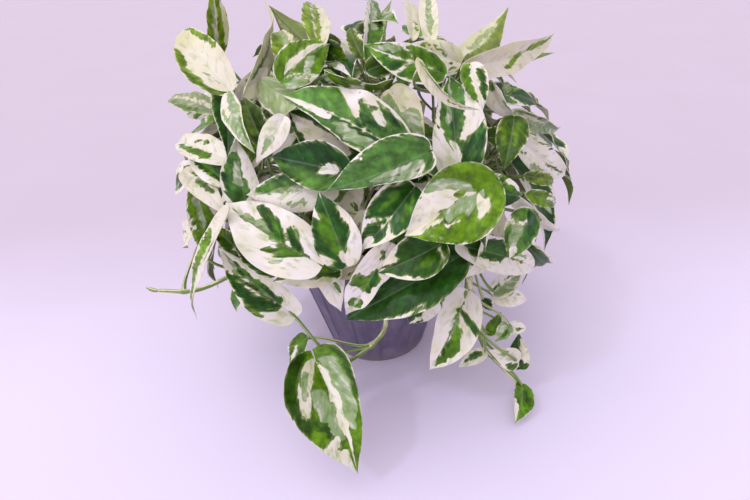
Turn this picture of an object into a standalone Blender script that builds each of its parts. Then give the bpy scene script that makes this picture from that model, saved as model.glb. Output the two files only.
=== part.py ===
"""A potted pothos: a mound of variegated leaves on trailing stems, in a tapered moulded nursery pot.

Metres, +Z up, front towards -Y. The origin is the centre of the pot's underside.
The leaves seen from the front are placed by where they show from one viewpoint, on a domed canopy.
The leaves inside and behind are spread over the same dome by a golden-angle rule.
Each leaf then slides along its own line until it clears what already stands there."""

import math
from dataclasses import dataclass, replace

import bmesh
import bpy
import numpy as np
from mathutils.bvhtree import BVHTree

MM = 0.001

# Pot: a 13 cm nursery pot
RIM_RADIUS = 65.0 * MM
POT_HEIGHT = 96.5 * MM
FOOT_RADIUS = 37.6 * MM
WALL = 1.5 * MM
FLOOR = 2.0 * MM
RIM_DEPTH = 7.0 * MM
RIM_STEP = 1.6 * MM
RIM_LOW = POT_HEIGHT - RIM_DEPTH
PANELS = 16
PANEL_TOP = RIM_LOW - 4.0 * MM
PANEL_FOOT = 5.0 * MM
PANEL_STEP = 0.9 * MM
NOTCHES = 4
NOTCH_SIZE = (7.0 * MM, 6.0 * MM, 3.0 * MM)

# Soil
SOIL_TOP = 84.5 * MM
SOIL_RELIEF = 1.1 * MM
SOIL_SIDES = 24
HOLE_DEPTH = 16.0 * MM
HOLE_RADIUS = 2.9 * MM
GAP = 0.35 * MM

# Stems, petioles and leaves
STEM_RADIUS = 2.0 * MM
STEM_TIP_RADIUS = 1.3 * MM
STEM_STEPS = 3
PETIOLE_RADIUS = 0.95 * MM
PETIOLE_REACH = 40.0 * MM
BLADE_THICKNESS = 0.7 * MM
CLEARANCE = 0.75 * MM
TABLE_CLEARANCE = 1.5 * MM
LARGE_ROWS = (0.0, 0.1, 0.3, 0.55, 0.8, 1.0)
SMALL_ROWS = (0.0, 0.12, 0.4, 0.72, 1.0)
FEW_ROWS = (0.0, 0.2, 0.62, 1.0)
LARGE_WIDTH = 22.0 * MM
SMALL_WIDTH = 12.0 * MM
OUTLINE_RISE = 0.6
OUTLINE_FALL = 1.1
TRIM_END = 0.6

# Stems that carry only leaves seen from the front
FRONT_TRAILERS = ("front_low", "right_trailer")

# The dome that the outer leaves lie on
DOME_CENTRE = np.array((0.0, 0.0, 130.0)) * MM
DOME_AXES = np.array((140.0, 115.0, 120.0)) * MM

# Plain colours, linear
POT_VIOLET_GREY = (0.07, 0.06, 0.09)
SOIL_BLACK = (0.02, 0.015, 0.012)
LEAF_GREEN = (0.12, 0.30, 0.07)

# The viewpoint that the front leaves are placed from
EYE = np.array((0.9, -359.0, 302.0)) * MM
PITCH = math.radians(32.0)
ROLL = math.radians(-3.1)
FOCAL_PIXELS = 560.0
FRAME_CENTRE = (375.0, 250.0)


@dataclass(frozen=True)
class Leaf:
    """One leaf seen from the front: the picture points of its base and tip, in pixels.

    lift is how far base and tip stand out of the dome towards the eye, in millimetres, and depth, where
    given, is their distance in front of the pot's axis instead. turn rolls the face away from the eye.
    trim is how much narrower the two halves are towards the tip, as shares."""

    name: str
    vine: str
    base: tuple
    tip: tuple
    width: float
    lift: tuple = (0.0, 0.0)
    turn: float = 0.0
    arch: float = 0.09
    fold: float = 12.0
    twist: float = 0.0
    lobe: float = 0.07
    depth: tuple = None
    trim: tuple = (0.0, 0.0)


@dataclass
class Blade:
    """A leaf blade in space: where it starts and ends, which way it faces, and its form."""

    name: str
    vine: str
    base: np.ndarray
    tip: np.ndarray
    face: np.ndarray
    width: float
    arch: float
    fold: float
    twist: float
    lobe: float
    base_slide: np.ndarray
    tip_slide: np.ndarray
    front: bool
    trim: tuple = (0.0, 0.0)


# The stems: the points that each runs through, in millimetres, from its foot in the soil
VINES = {
    "crown_left": ((-35, 14, 69), (-35, 14, 91), (-46, 12, 135), (-66, 4, 186)),
    "shoulder_left": ((-42, -9, 69), (-42, -9, 91), (-54, -22, 125), (-68, -40, 160)),
    "left_runner": (
        (-39, -26, 69), (-39, -26, 91), (-58, -42, 111), (-84, -56, 104), (-116, -60, 92),
        (-146, -50, 86),
    ),
    "front_left": ((-22, -35, 69), (-22, -35, 91), (-28, -52, 118), (-36, -74, 142)),
    "front": ((7, -35, 69), (7, -35, 91), (10, -54, 116), (16, -78, 136)),
    "front_right": ((26, -31, 69), (26, -31, 91), (36, -50, 120), (46, -72, 142)),
    "right_trailer": (
        (44, -18, 69), (44, -18, 91), (57, -46, 116), (57, -76, 108), (59, -80, 92), (64, -78, 70),
        (70, -78, 46), (84, -78, 26), (98, -80, 9),
    ),
    "front_low": (
        (-6, -46, 69), (-6, -46, 91), (0, -66, 107), (5, -78, 90), (4, -84, 70), (-10, -90, 58),
        (-26, -94, 50),
    ),
    "right": ((44, 9, 69), (44, 9, 91), (58, -4, 122), (76, -26, 158)),
    "crown_right": ((28, 20, 69), (28, 20, 91), (38, 10, 135), (54, -6, 192)),
    "crown_front_left": ((-18, 25, 69), (-18, 25, 91), (-22, 16, 140), (-32, -6, 194)),
    "crown_front_right": ((8, 31, 69), (8, 31, 91), (10, 22, 140), (14, -10, 198)),
    "heart": ((-6, -10, 69), (-6, -10, 91), (-6, -20, 128), (0, -44, 168)),
    "back_left": ((-33, 31, 69), (-33, 31, 91), (-48, 42, 125), (-66, 54, 158)),
    "back": ((-1, 45, 69), (-1, 45, 91), (-4, 62, 125), (-2, 80, 156)),
    "back_right": ((33, 31, 69), (33, 31, 91), (48, 44, 125), (66, 56, 158)),
    "back_low_left": ((-18, 43, 69), (-18, 43, 91), (-28, 67, 111), (-40, 88, 106), (-54, 104, 88)),
    "back_low_right": ((18, 43, 69), (18, 43, 91), (28, 67, 111), (42, 88, 106), (58, 102, 90)),
    "crown_back": ((8, 8, 69), (8, 8, 91), (8, 16, 140), (4, 34, 192)),
}

LEAVES = (
    Leaf(
        "heart_water", "front_right", (478, 193), (405, 236), 41, lift=(8, 8), lobe=0.3, fold=6,
        trim=(0.15, 0),
    ),
    Leaf("centre_top", "heart", (425, 153), (326, 191), 30, lift=(6, 8), fold=10, trim=(0, 0.62)),
    Leaf("white_feather", "front_left", (316, 262), (224, 202), 33, lift=(2, 2)),
    Leaf("half_white", "front_left", (345, 262), (318, 191), 25, lift=(0, 0), turn=-10),
    Leaf("green_margined", "front", (412, 190), (360, 251), 27, lift=(-5, 0), trim=(0, 0.25)),
    Leaf(
        "big_back_white", "heart", (394, 148), (281, 93), 36, lift=(-8, -2), turn=20, lobe=0.12,
        trim=(0, 0.5),
    ),
    Leaf("upright_right", "crown_right", (459, 168), (449, 74), 33, lift=(-6, -2), lobe=0.12, trim=(0, 0.4)),
    Leaf("dark_spotted", "front", (441, 244), (377, 273), 27, lift=(0, 2), trim=(0.15, 0.1)),
    Leaf("front_split", "front", (388, 248), (346, 317), 24, lift=(-4, 0), turn=-25, trim=(0, 0.42)),
    Leaf("glossy_dark", "front", (457, 258), (343, 320), 34, lift=(-13, -7), turn=15),
    Leaf("round_margined", "front", (436, 280), (408, 325), 21, lift=(-19, -17)),
    Leaf("mottled_low", "front_left", (337, 272), (272, 281), 17, lift=(-11, -6), turn=15),
    Leaf("shade_cream", "front_left", (364, 260), (334, 279), 11, lift=(-18, -16)),
    Leaf("cream_round", "front_left", (364, 214), (354, 264), 11, lift=(-12, -9)),
    Leaf("left_hanging", "front_low", (291, 313), (218, 247), 27, lift=(-8, -7), trim=(0.42, 0)),
    Leaf(
        "front_hanging", "front_low", (316, 362), (358, 474), 52, lobe=0.12, fold=14, depth=(-97, -148),
        trim=(0, 0.46),
    ),
    Leaf("front_folded", "front_low", (306, 338), (291, 377), 17, turn=50, depth=(-84, -92)),
    Leaf("right_hanging", "right_trailer", (466, 296), (429, 371), 32, depth=(-84, -96), trim=(0.38, 0)),
    Leaf("horizontal_left", "shoulder_left", (332, 187), (245, 195), 23, lift=(-10, -4)),
    Leaf("shade_dark", "heart", (344, 172), (270, 156), 25, lift=(-20, -16)),
    Leaf("pointing_up", "shoulder_left", (246, 206), (236, 138), 23, lift=(-12, -6), trim=(0.25, 0)),
    Leaf("grey_back", "crown_front_left", (262, 82), (297, 110), 20, lift=(-2, 6), turn=165),
    Leaf("curled_white", "shoulder_left", (283, 119), (256, 163), 13, lift=(0, 5), turn=10, arch=0.16),
    Leaf("shade_big_cream", "heart", (354, 152), (287, 110), 25, lift=(-17, -14)),
    Leaf("cream_centre", "heart", (392, 92), (425, 142), 21, lift=(-14, -12)),
    Leaf("left_dark", "shoulder_left", (222, 92), (228, 157), 16, lift=(-2, 0), turn=-10),
    Leaf("left_mottled", "shoulder_left", (229, 96), (253, 153), 12, lift=(3, 5), turn=30),
    Leaf("left_deep", "shoulder_left", (262, 142), (243, 96), 13, lift=(-14, -14)),
    Leaf("left_cream_green", "shoulder_left", (228, 160), (176, 140), 17, turn=20),
    Leaf("left_margined", "shoulder_left", (226, 182), (188, 156), 14, lift=(-8, -8)),
    Leaf("left_streaked", "left_runner", (186, 174), (228, 217), 14, lift=(-2, 0)),
    Leaf("left_yellow", "left_runner", (197, 187), (207, 263), 16),
    Leaf("left_edge_on", "left_runner", (226, 217), (191, 320), 14, lift=(2, 2), turn=62, arch=0.05),
    Leaf("left_shadow", "left_runner", (276, 270), (230, 228), 18, lift=(-16, -15)),
    Leaf("left_olive", "left_runner", (242, 254), (213, 227), 12, lift=(-10, -9)),
    Leaf("crown_cut", "crown_left", (216, 52), (209, -24), 18, lift=(-4, -10), turn=45),
    Leaf("crown_cream", "crown_left", (227, 88), (181, 27), 25, lift=(0, 4)),
    Leaf("crown_twisted", "crown_left", (246, 88), (269, 0), 17, lift=(0, -4), turn=62, twist=30),
    Leaf("crown_small_cream", "crown_left", (240, 99), (269, 66), 13, lift=(-4, -4), turn=10),
    Leaf("far_left_striped", "crown_left", (216, 112), (166, 100), 14, lift=(-8, -6), turn=35),
    Leaf("olive_back", "crown_front_left", (314, 47), (271, 8), 19, lift=(-6, 0), turn=190),
    Leaf("crown_yellow", "crown_front_left", (317, 45), (312, 3), 16, lift=(-12, -12), turn=20),
    Leaf("crown_spotted", "crown_front_left", (287, 63), (277, 30), 13, lift=(-8, -7)),
    Leaf("crown_striped", "crown_front_left", (283, 80), (330, 43), 23, lift=(2, 2), turn=-15),
    Leaf("crown_small_dark", "crown_front_left", (322, 48), (351, 68), 14, lift=(-8, -6)),
    Leaf("crown_arched", "crown_front_left", (329, 71), (393, 81), 15, lift=(0, 0), turn=66, arch=0.15),
    Leaf("crown_tiny", "crown_left", (276, 73), (262, 50), 8, lift=(-10, -8), turn=30),
    Leaf("under_arch_dark", "heart", (352, 87), (314, 71), 14, lift=(-12, -12)),
    Leaf("top_margined", "crown_front_right", (441, 72), (363, 44), 18, lift=(2, 4)),
    Leaf("top_strap", "crown_front_right", (366, 56), (368, -4), 13, lift=(-8, -10), turn=40),
    Leaf("top_grey", "crown_front_right", (372, 62), (390, 4), 16, lift=(-2, -6), turn=185),
    Leaf("top_folded", "crown_front_right", (412, 37), (405, 0), 10, lift=(-6, -8), turn=40),
    Leaf("top_hanging", "crown_front_right", (411, 60), (401, 95), 12, lift=(0, 2), turn=20),
    Leaf("top_yellow_green", "crown_front_right", (368, 70), (401, 57), 13, lift=(-9, -9)),
    Leaf("top_deep", "crown_front_right", (362, 57), (349, 26), 9, lift=(-10, -10)),
    Leaf("long_cream", "crown_right", (468, 66), (558, 34), 17, lift=(0, 4), turn=25, arch=0.05),
    Leaf("long_underside", "crown_right", (476, 73), (551, 52), 12, lift=(-5, 0), turn=200),
    Leaf("right_back", "crown_right", (467, 55), (507, 10), 20, lift=(-7, -6), turn=168),
    Leaf("right_dark_white", "crown_right", (471, 66), (483, 110), 15, turn=-20),
    Leaf("olive_arched", "crown_right", (421, 62), (478, 112), 10, lift=(9, 8), turn=60, arch=0.14),
    Leaf("crown_cream_right", "crown_right", (458, 62), (412, 44), 15, lift=(-2, 0)),
    Leaf("crown_upright_right", "crown_right", (431, 42), (428, -8), 11, lift=(-8, -10)),
    Leaf("right_curled", "crown_right", (491, 83), (518, 120), 12, turn=40, arch=0.2),
    Leaf("right_white_green", "right", (522, 140), (567, 177), 17),
    Leaf("right_edge_on", "right", (515, 195), (561, 232), 13, turn=52),
    Leaf("right_dark", "right", (514, 119), (504, 169), 17, lift=(2, 2)),
    Leaf("right_olive_back", "right", (533, 135), (497, 120), 14, lift=(-5, -3), turn=180),
    Leaf("right_grey_strip", "right", (526, 127), (531, 169), 10, lift=(-3, -2), turn=45),
    Leaf("right_grey_curl", "right", (519, 112), (562, 129), 11, turn=30),
    Leaf("right_small_yellow", "right", (526, 176), (555, 183), 8),
    Leaf("right_small_green", "right", (528, 194), (556, 206), 9),
    Leaf("behind_heart", "front_right", (478, 186), (524, 196), 18, lift=(-10, -8)),
    Leaf("shade_right_cream", "front_right", (462, 246), (538, 270), 20, lift=(-12, -5)),
    Leaf("right_heart", "front_right", (527, 215), (509, 260), 18, lift=(0, 4), lobe=0.16),
    Leaf("right_round", "front_right", (526, 243), (549, 263), 14, lift=(-4, -2), turn=25),
    Leaf("under_heart", "front_right", (484, 252), (438, 246), 17, lift=(-10, -14)),
    Leaf("trail_upper", "right_trailer", (494, 293), (522, 270), 14, depth=(-72, -66)),
    Leaf("trail_white", "right_trailer", (494, 296), (528, 300), 14, depth=(-74, -70)),
    Leaf("trail_small_dark", "right_trailer", (483, 299), (492, 311), 7, depth=(-76, -78)),
    Leaf("trail_green", "right_trailer", (489, 334), (501, 312), 9, depth=(-77, -72)),
    Leaf("trail_grey", "right_trailer", (509, 325), (495, 342), 10, depth=(-80, -86)),
    Leaf("trail_cream", "right_trailer", (508, 327), (527, 328), 9, depth=(-76, -74)),
    Leaf("trail_feather", "right_trailer", (517, 361), (489, 350), 15, depth=(-82, -86)),
    Leaf("trail_round", "right_trailer", (520, 367), (519, 333), 15, depth=(-80, -72)),
    Leaf("trail_left", "right_trailer", (485, 352), (458, 367), 10, depth=(-82, -88)),
    Leaf(
        "trail_end", "right_trailer", (522, 386), (515, 423), 17, depth=(-83, -110), turn=-20,
        trim=(0.3, 0),
    ),
)

# Rule leaves: how many directions are tried, how far out of the dome's centre their bases lie, as a share
# of the dome, and the lowest direction. The last lines bound the part of the picture that LEAVES fills.
RULE_LAYERS = (("outer", 104, 0.74, -0.42), ("inner", 18, 0.36, -0.15))
RULE_SEED = 21
RULE_LENGTH = 56.0 * MM
RULE_LENGTH_SPREAD = 9.0 * MM
RULE_WIDTH_SHARE = 0.53
RULE_WIDTH_SPREAD = 0.05
RULE_FOLD = math.radians(13.0)
RULE_TWIST = math.radians(12.0)
FRAME_SIDES = (186.0, 564.0)
FRAME_TOP = -4.0

# How a leaf may slide along its line, and its petiole bulge, to clear what stands there
SLIDE_STEP = 2.0 * MM
SLIDE_STEPS = 12
BULGE = 9.0 * MM


def unit(vector):
    """The vector at length one."""
    return vector / np.linalg.norm(vector)


def view_axes():
    """The directions that run to the right, up and away from the eye in the picture."""
    away = np.array((0.0, math.cos(PITCH), -math.sin(PITCH)))
    level_up = np.array((0.0, math.sin(PITCH), math.cos(PITCH)))
    level_right = np.array((1.0, 0.0, 0.0))
    right = math.cos(ROLL) * level_right + math.sin(ROLL) * level_up
    up = math.cos(ROLL) * level_up - math.sin(ROLL) * level_right
    return right, up, away


def sight_line(point):
    """The direction from the eye through a picture point, with a unit step along the view axis."""
    right, up, away = view_axes()
    across = (point[0] - FRAME_CENTRE[0]) / FOCAL_PIXELS
    down = (point[1] - FRAME_CENTRE[1]) / FOCAL_PIXELS
    return away + across * right - down * up


def picture_point(position):
    """Where a point in space shows in the picture."""
    right, up, away = view_axes()
    offset = position - EYE
    scale = FOCAL_PIXELS / (offset @ away)
    return FRAME_CENTRE[0] + scale * (offset @ right), FRAME_CENTRE[1] - scale * (offset @ up)


def on_dome(point, lift):
    """Where the sight line meets the dome, or passes nearest to it, moved towards the eye by lift."""
    line = sight_line(point)
    scaled_line = line / DOME_AXES
    scaled_eye = (EYE - DOME_CENTRE) / DOME_AXES
    a = scaled_line @ scaled_line
    b = scaled_eye @ scaled_line
    c = scaled_eye @ scaled_eye - 1.0
    inside = max(b * b - a * c, 0.0)
    distance = (-b - math.sqrt(inside)) / a
    return EYE + distance * line - lift * MM * unit(line)


def at_depth(point, depth):
    """Where the sight line crosses the upright plane at this Y, in millimetres."""
    line = sight_line(point)
    return EYE + (depth * MM - EYE[1]) / line[1] * line


def turned(vector, axis, angle):
    """The vector turned about the axis, in radians."""
    return (
        vector * math.cos(angle)
        + np.cross(axis, vector) * math.sin(angle)
        + axis * (axis @ vector) * (1.0 - math.cos(angle))
    )


def front_blade(leaf):
    """The blade of a leaf given by picture points."""
    if leaf.depth:
        base = at_depth(leaf.base, leaf.depth[0])
        tip = at_depth(leaf.tip, leaf.depth[1])
    else:
        base = on_dome(leaf.base, leaf.lift[0])
        tip = on_dome(leaf.tip, leaf.lift[1])
    axis = unit(tip - base)
    to_eye = unit(EYE - 0.5 * (base + tip))
    face = unit(to_eye - axis * (axis @ to_eye))
    face = turned(face, axis, math.radians(leaf.turn))
    return Blade(
        leaf.name,
        leaf.vine,
        base,
        tip,
        face,
        leaf.width * MM,
        leaf.arch,
        math.radians(leaf.fold),
        math.radians(leaf.twist),
        leaf.lobe,
        unit(EYE - base),
        unit(EYE - tip),
        True,
        leaf.trim,
    )


def golden_directions(count):
    """Directions spread evenly over a sphere, from the top down, by the golden angle."""
    index = np.arange(count) + 0.5
    height = 1.0 - 2.0 * index / count
    angle = math.pi * (1.0 + math.sqrt(5.0)) * index
    ring = np.sqrt(1.0 - height * height)
    return np.stack((ring * np.cos(angle), ring * np.sin(angle), height), axis=1)


def nearest_vine(position, stems):
    """The vine whose end passes nearest to a point, the two front trailers left out."""
    best = None
    for key, path in stems.items():
        if key in FRONT_TRAILERS:
            continue
        gap = np.linalg.norm(path[-5:] - position, axis=1).min()
        if best is None or gap < best[0]:
            best = (gap, key)
    return best[1]


def shows_in_front(position):
    """Whether a point on the dome faces the eye inside the picture, where the placed leaves are."""
    across, down = picture_point(position)
    inside = FRAME_SIDES[0] < across < FRAME_SIDES[1] and down > FRAME_TOP
    outward = (position - DOME_CENTRE) / DOME_AXES**2
    return inside and outward @ (EYE - position) > 0.0


def rule_blades(stems):
    """The leaves behind, beside and inside, spread over two domes, tips outward and down."""
    random = np.random.default_rng(RULE_SEED)
    blades = []
    for layer, count, share, lowest in RULE_LAYERS:
        for index, direction in enumerate(golden_directions(count)):
            draws = random.uniform(-1.0, 1.0, 5)
            on_surface = DOME_CENTRE + DOME_AXES * direction
            if direction[2] < lowest or (layer == "outer" and shows_in_front(on_surface)):
                continue
            outward = unit(direction / DOME_AXES)
            down = unit(np.array((0.0, 0.0, -1.0)) + outward * outward[2] + 1e-6)
            sideways = np.cross(outward, down)
            length = RULE_LENGTH + RULE_LENGTH_SPREAD * draws[0]
            heading = unit(0.35 * outward + 0.75 * down + 0.75 * draws[1] * sideways)
            base = DOME_CENTRE + DOME_AXES * direction * (share + 0.04 * draws[2])
            base = base - 0.2 * length * down
            tip = base + heading * length
            face = unit(outward + 0.5 * np.array((0.0, 0.0, 1.0)) + 0.35 * draws[3] * sideways)
            blades.append(
                Blade(
                    f"{layer}_{index}",
                    nearest_vine(base, stems),
                    base,
                    tip,
                    face,
                    length * (RULE_WIDTH_SHARE + RULE_WIDTH_SPREAD * draws[4]),
                    0.1,
                    RULE_FOLD,
                    RULE_TWIST * draws[1],
                    0.08,
                    outward,
                    outward,
                    False,
                )
            )
    return blades


def outline(along):
    """Half the blade's width as a share of its most, along its length: an oval with a drawn-out tip."""
    peak = OUTLINE_RISE / (OUTLINE_RISE + OUTLINE_FALL)
    top = peak**OUTLINE_RISE * (1.0 - peak) ** OUTLINE_FALL
    return along**OUTLINE_RISE * (1.0 - along) ** OUTLINE_FALL / top


def blade_points(blade, along, across, grow=0.0):
    """Points of the blade's middle surface: along is 0 at its base and 1 at its tip, across is -1 to 1."""
    axis = blade.tip - blade.base
    length = np.linalg.norm(axis)
    forward = axis / length
    face = unit(blade.face - forward * (forward @ blade.face))
    side = np.cross(face, forward)
    trim = np.where(across < 0.0, blade.trim[0], blade.trim[1])
    slimming = 1.0 - trim * np.sin(0.5 * math.pi * np.minimum(along / TRIM_END, 1.0))
    half = 0.5 * blade.width * outline(along) * slimming + grow * np.sin(math.pi * along) ** 0.25
    out = half * across
    back = blade.lobe * length * np.abs(across) ** 1.6 * (1.0 - along) ** 4
    reach = along * (length + 2.0 * grow) - grow - back
    ripple = np.sin(2.0 * math.pi * (1.5 * along + 0.2 * across)) * np.sin(math.pi * along)
    rise = math.tan(blade.fold) * np.abs(out) + 0.045 * blade.width * across**2 * ripple
    bow = 4.0 * blade.arch * length * along * (1.0 - along)
    roll = blade.twist * (along - 0.3)
    sideways = np.cos(roll) * out - np.sin(roll) * rise
    outward = np.sin(roll) * out + np.cos(roll) * rise + bow
    return (
        blade.base
        + reach[..., None] * forward
        + sideways[..., None] * side
        + outward[..., None] * face
    )


def stem_path(points, steps):
    """A stem's path: straight up out of the soil to its second point, and a smooth curve from there."""
    path = smooth_path(points, steps)
    share = np.linspace(0.0, 1.0, steps + 1)[:, None]
    path[: steps + 1] = (1.0 - share) * path[0] + share * path[steps]
    return path * MM


def smooth_path(points, steps):
    """A Catmull-Rom curve through the points, with this many steps to each stretch."""
    points = np.asarray(points, float)
    padded = np.vstack((2.0 * points[0] - points[1], points, 2.0 * points[-1] - points[-2]))
    path = []
    for index in range(1, len(padded) - 2):
        before, start, end, after = padded[index - 1 : index + 3]
        for step in range(steps):
            t = step / steps
            path.append(
                0.5
                * (
                    2.0 * start
                    + (end - before) * t
                    + (2.0 * before - 5.0 * start + 4.0 * end - after) * t**2
                    + (3.0 * start - before - 3.0 * end + after) * t**3
                )
            )
    path.append(padded[-2])
    return np.array(path)


def bezier(points, count):
    """A cubic curve on four points, as this many points."""
    t = np.linspace(0.0, 1.0, count)[:, None]
    return (
        (1.0 - t) ** 3 * points[0]
        + 3.0 * (1.0 - t) ** 2 * t * points[1]
        + 3.0 * (1.0 - t) * t**2 * points[2]
        + t**3 * points[3]
    )


class Shape:
    """A surface kept for testing whether shapes meet: its box and its search tree."""

    def __init__(self, vine, kind, points, faces):
        self.vine = vine
        self.kind = kind
        self.low = points.min(axis=0)
        self.high = points.max(axis=0)
        self.tree = BVHTree.FromPolygons(points.tolist(), faces)

    def meets(self, other):
        """Whether two surfaces cross."""
        if (self.low > other.high).any() or (other.low > self.high).any():
            return False
        return bool(self.tree.overlap(other.tree))


def grid_faces(rows, columns, closed=False):
    """Triangles of a grid of points, row by row, joined round the columns where closed."""
    faces = []
    for row in range(rows - 1):
        for column in range(columns if closed else columns - 1):
            following = (column + 1) % columns
            a, b = row * columns + column, row * columns + following
            c, d = a + columns, b + columns
            faces.append((a, b, d))
            faces.append((a, d, c))
    return faces


def blade_rows(blade):
    """Where the blade's rows of corners lie along it: more of them on a large one that shows."""
    if not blade.front or blade.width < SMALL_WIDTH:
        return FEW_ROWS
    return LARGE_ROWS if blade.width > LARGE_WIDTH else SMALL_ROWS


def sheet_shape(blade):
    """The blade's middle surface, for testing."""
    rows = blade_rows(blade)
    along, across = np.meshgrid(rows, (-1.0, 0.0, 1.0), indexing="ij")
    points = blade_points(blade, along, across).reshape(-1, 3)
    return Shape(blade.vine, "blade", points, grid_faces(len(rows), 3))


def padded_shape(blade):
    """The blade grown by the clearance on every side, for testing a place before it is taken."""
    pad = CLEARANCE + 0.5 * BLADE_THICKNESS
    along, across = np.meshgrid(blade_rows(blade), (-1.0, 0.0, 1.0), indexing="ij")
    middle = blade_points(blade, along, across, grow=pad).reshape(-1, 3)
    axis = unit(blade.tip - blade.base)
    face = unit(blade.face - axis * (axis @ blade.face))
    rows = len(along)
    points = np.vstack((middle + pad * face, middle - pad * face))
    under = [tuple(corner + len(middle) for corner in face) for face in grid_faces(rows, 3)]
    faces = grid_faces(rows, 3) + under
    rim = [3 * row for row in range(rows)] + [3 * row + 2 for row in reversed(range(rows))]
    for start, end in zip(rim, rim[1:] + rim[:1]):
        faces.append((start, end, end + len(middle)))
        faces.append((start, end + len(middle), start + len(middle)))
    return Shape(blade.vine, "blade", points, faces)


def tube_points(path, radii, sides):
    """Rings of points round a path."""
    tangents = np.gradient(path, axis=0)
    guide = np.array((0.31, 0.22, 0.93))
    rings = []
    for centre, tangent, radius in zip(path, tangents, radii):
        first = unit(np.cross(tangent, guide))
        second = unit(np.cross(tangent, first))
        angles = np.arange(sides) * 2.0 * math.pi / sides
        rings.append(centre + radius * (np.cos(angles)[:, None] * first + np.sin(angles)[:, None] * second))
    return np.vstack(rings)


def tube_shape(vine, kind, path, radii):
    """A tube round a path, for testing."""
    sides = 6
    return Shape(vine, kind, tube_points(path, radii, sides), grid_faces(len(path), sides, closed=True))


def stem_radii(path):
    """The stem's radius at each point, thinner towards its end."""
    return np.linspace(STEM_RADIUS, STEM_TIP_RADIUS, len(path))


def petiole_path(stem, start, blade, bulge):
    """The petiole from a point on the stem to just inside the blade's base, curved towards the light."""
    root = stem[start]
    rising = unit(stem[min(start + 2, len(stem) - 1)] - stem[max(start - 2, 0)])
    inside = blade_points(blade, np.array(0.03), np.array(0.0))
    span = inside - root
    length = np.linalg.norm(span)
    forward = unit(blade.tip - blade.base)
    leaving = unit(0.55 * rising + 0.6 * unit(span) + np.array((0.0, 0.0, 0.25)))
    arriving = unit(0.75 * unit(span) + 0.35 * forward - 0.15 * blade.face)
    first_handle = root + 0.38 * length * leaving + bulge
    second_handle = inside - 0.34 * length * arriving + bulge
    return bezier((root, first_handle, second_handle, inside), 4 if blade.front else 3)


def choose_start(stem, blade, used):
    """The stem point that a leaf grows from: about one petiole away, below it, and apart from the others."""
    best = None
    for index in range(len(stem) // 5, len(stem)):
        span = blade.base - stem[index]
        length = np.linalg.norm(span)
        tangent = unit(stem[min(index + 1, len(stem) - 1)] - stem[index - 1])
        cost = abs(length - PETIOLE_REACH) + 12.0 * MM * (1.0 - tangent @ unit(span))
        cost += sum(5.0 * MM for other in used if abs(other - index) < 2)
        if best is None or cost < best[0]:
            best = (cost, index)
    return best[1]


def pot_shape():
    """The pot's outside and soil top as tested against: a smooth cone with a pad."""
    sides = 48
    angles = np.linspace(0.0, 2.0 * math.pi, sides, endpoint=False)
    rings = []
    pad = 1.2 * MM
    for radius, height in (
        (5.0 * MM, SOIL_TOP + 2.0 * MM),
        (RIM_RADIUS - 4.0 * MM, SOIL_TOP + 2.0 * MM),
        (RIM_RADIUS - 2.5 * MM, POT_HEIGHT + pad),
        (RIM_RADIUS + pad, POT_HEIGHT + pad),
        (RIM_RADIUS + pad, POT_HEIGHT - RIM_DEPTH),
        (FOOT_RADIUS + pad, 0.0),
    ):
        ring = (radius * np.cos(angles), radius * np.sin(angles), np.full(sides, height))
        rings.append(np.stack(ring, axis=1))
    return Shape("", "pot", np.vstack(rings), grid_faces(len(rings), sides, closed=True))


def slid(blade, distance):
    """The blade moved along its own line."""
    base = blade.base + distance * blade.base_slide
    tip = blade.tip + distance * blade.tip_slide
    return replace(blade, base=base, tip=tip)


def clear_petiole(stem, start, blade, shapes, strict):
    """A petiole that crosses nothing it may not, straight or bulged to one side, or none."""
    span = unit(blade.base - stem[start])
    first = unit(np.cross(span, (0.2, 0.1, 1.0)))
    second = np.cross(span, first)
    bulges = [0.0 * first]
    bulges += [size * BULGE * side for size in (1.0, 2.0) for side in (first, -first, second, -second)]
    for bulge in bulges:
        path = petiole_path(stem, start, blade, bulge)
        grown = tube_shape(blade.vine, "petiole", path, np.full(len(path), PETIOLE_RADIUS + CLEARANCE))
        barred = [other for other in shapes if other.vine != blade.vine or (strict and other.kind == "blade")]
        if not any(grown.meets(other) for other in barred):
            return path
    return None


def find_place(blade, stem, used, shapes):
    """The blade slid to the nearest clear place, its petiole and where that starts, or none.

    A place clear of everything is looked for first, then one that crosses only its own vine."""
    slides = [0.0]
    slides += [sign * SLIDE_STEP * step for step in range(1, SLIDE_STEPS + 1) for sign in (-1.0, 1.0)]
    for strict in (True, False):
        barred = [other for other in shapes if strict or other.vine != blade.vine]
        for distance in slides:
            candidate = slid(blade, distance)
            padded = padded_shape(candidate)
            if padded.low[2] < TABLE_CLEARANCE or any(padded.meets(other) for other in barred):
                continue
            start = choose_start(stem, candidate, used)
            path = clear_petiole(stem, start, candidate, shapes, strict)
            if path is not None:
                return candidate, path, start
    return None


def place_leaves(stems):
    """Each blade with its petiole, slid clear of what stands there. One that finds no room is left out."""
    shapes = [pot_shape()]
    for key, path in stems.items():
        shapes.append(tube_shape(key, "stem", path[2:], stem_radii(path)[2:]))
    used = {key: [] for key in stems}
    placed = []
    for blade in [front_blade(leaf) for leaf in LEAVES] + rule_blades(stems):
        found = find_place(blade, stems[blade.vine], used[blade.vine], shapes)
        if not found:
            continue
        candidate, path, start = found
        used[blade.vine].append(start)
        shapes.append(sheet_shape(candidate))
        shapes.append(tube_shape(blade.vine, "petiole", path, np.full(len(path), PETIOLE_RADIUS)))
        placed.append((candidate, path))
    return placed


def clear_scene():
    """Removes what the scene starts with."""
    for item in list(bpy.data.objects):
        bpy.data.objects.remove(item, do_unlink=True)


def new_collection(name):
    """A collection in the scene."""
    collection = bpy.data.collections.new(name)
    bpy.context.scene.collection.children.link(collection)
    return collection


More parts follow.
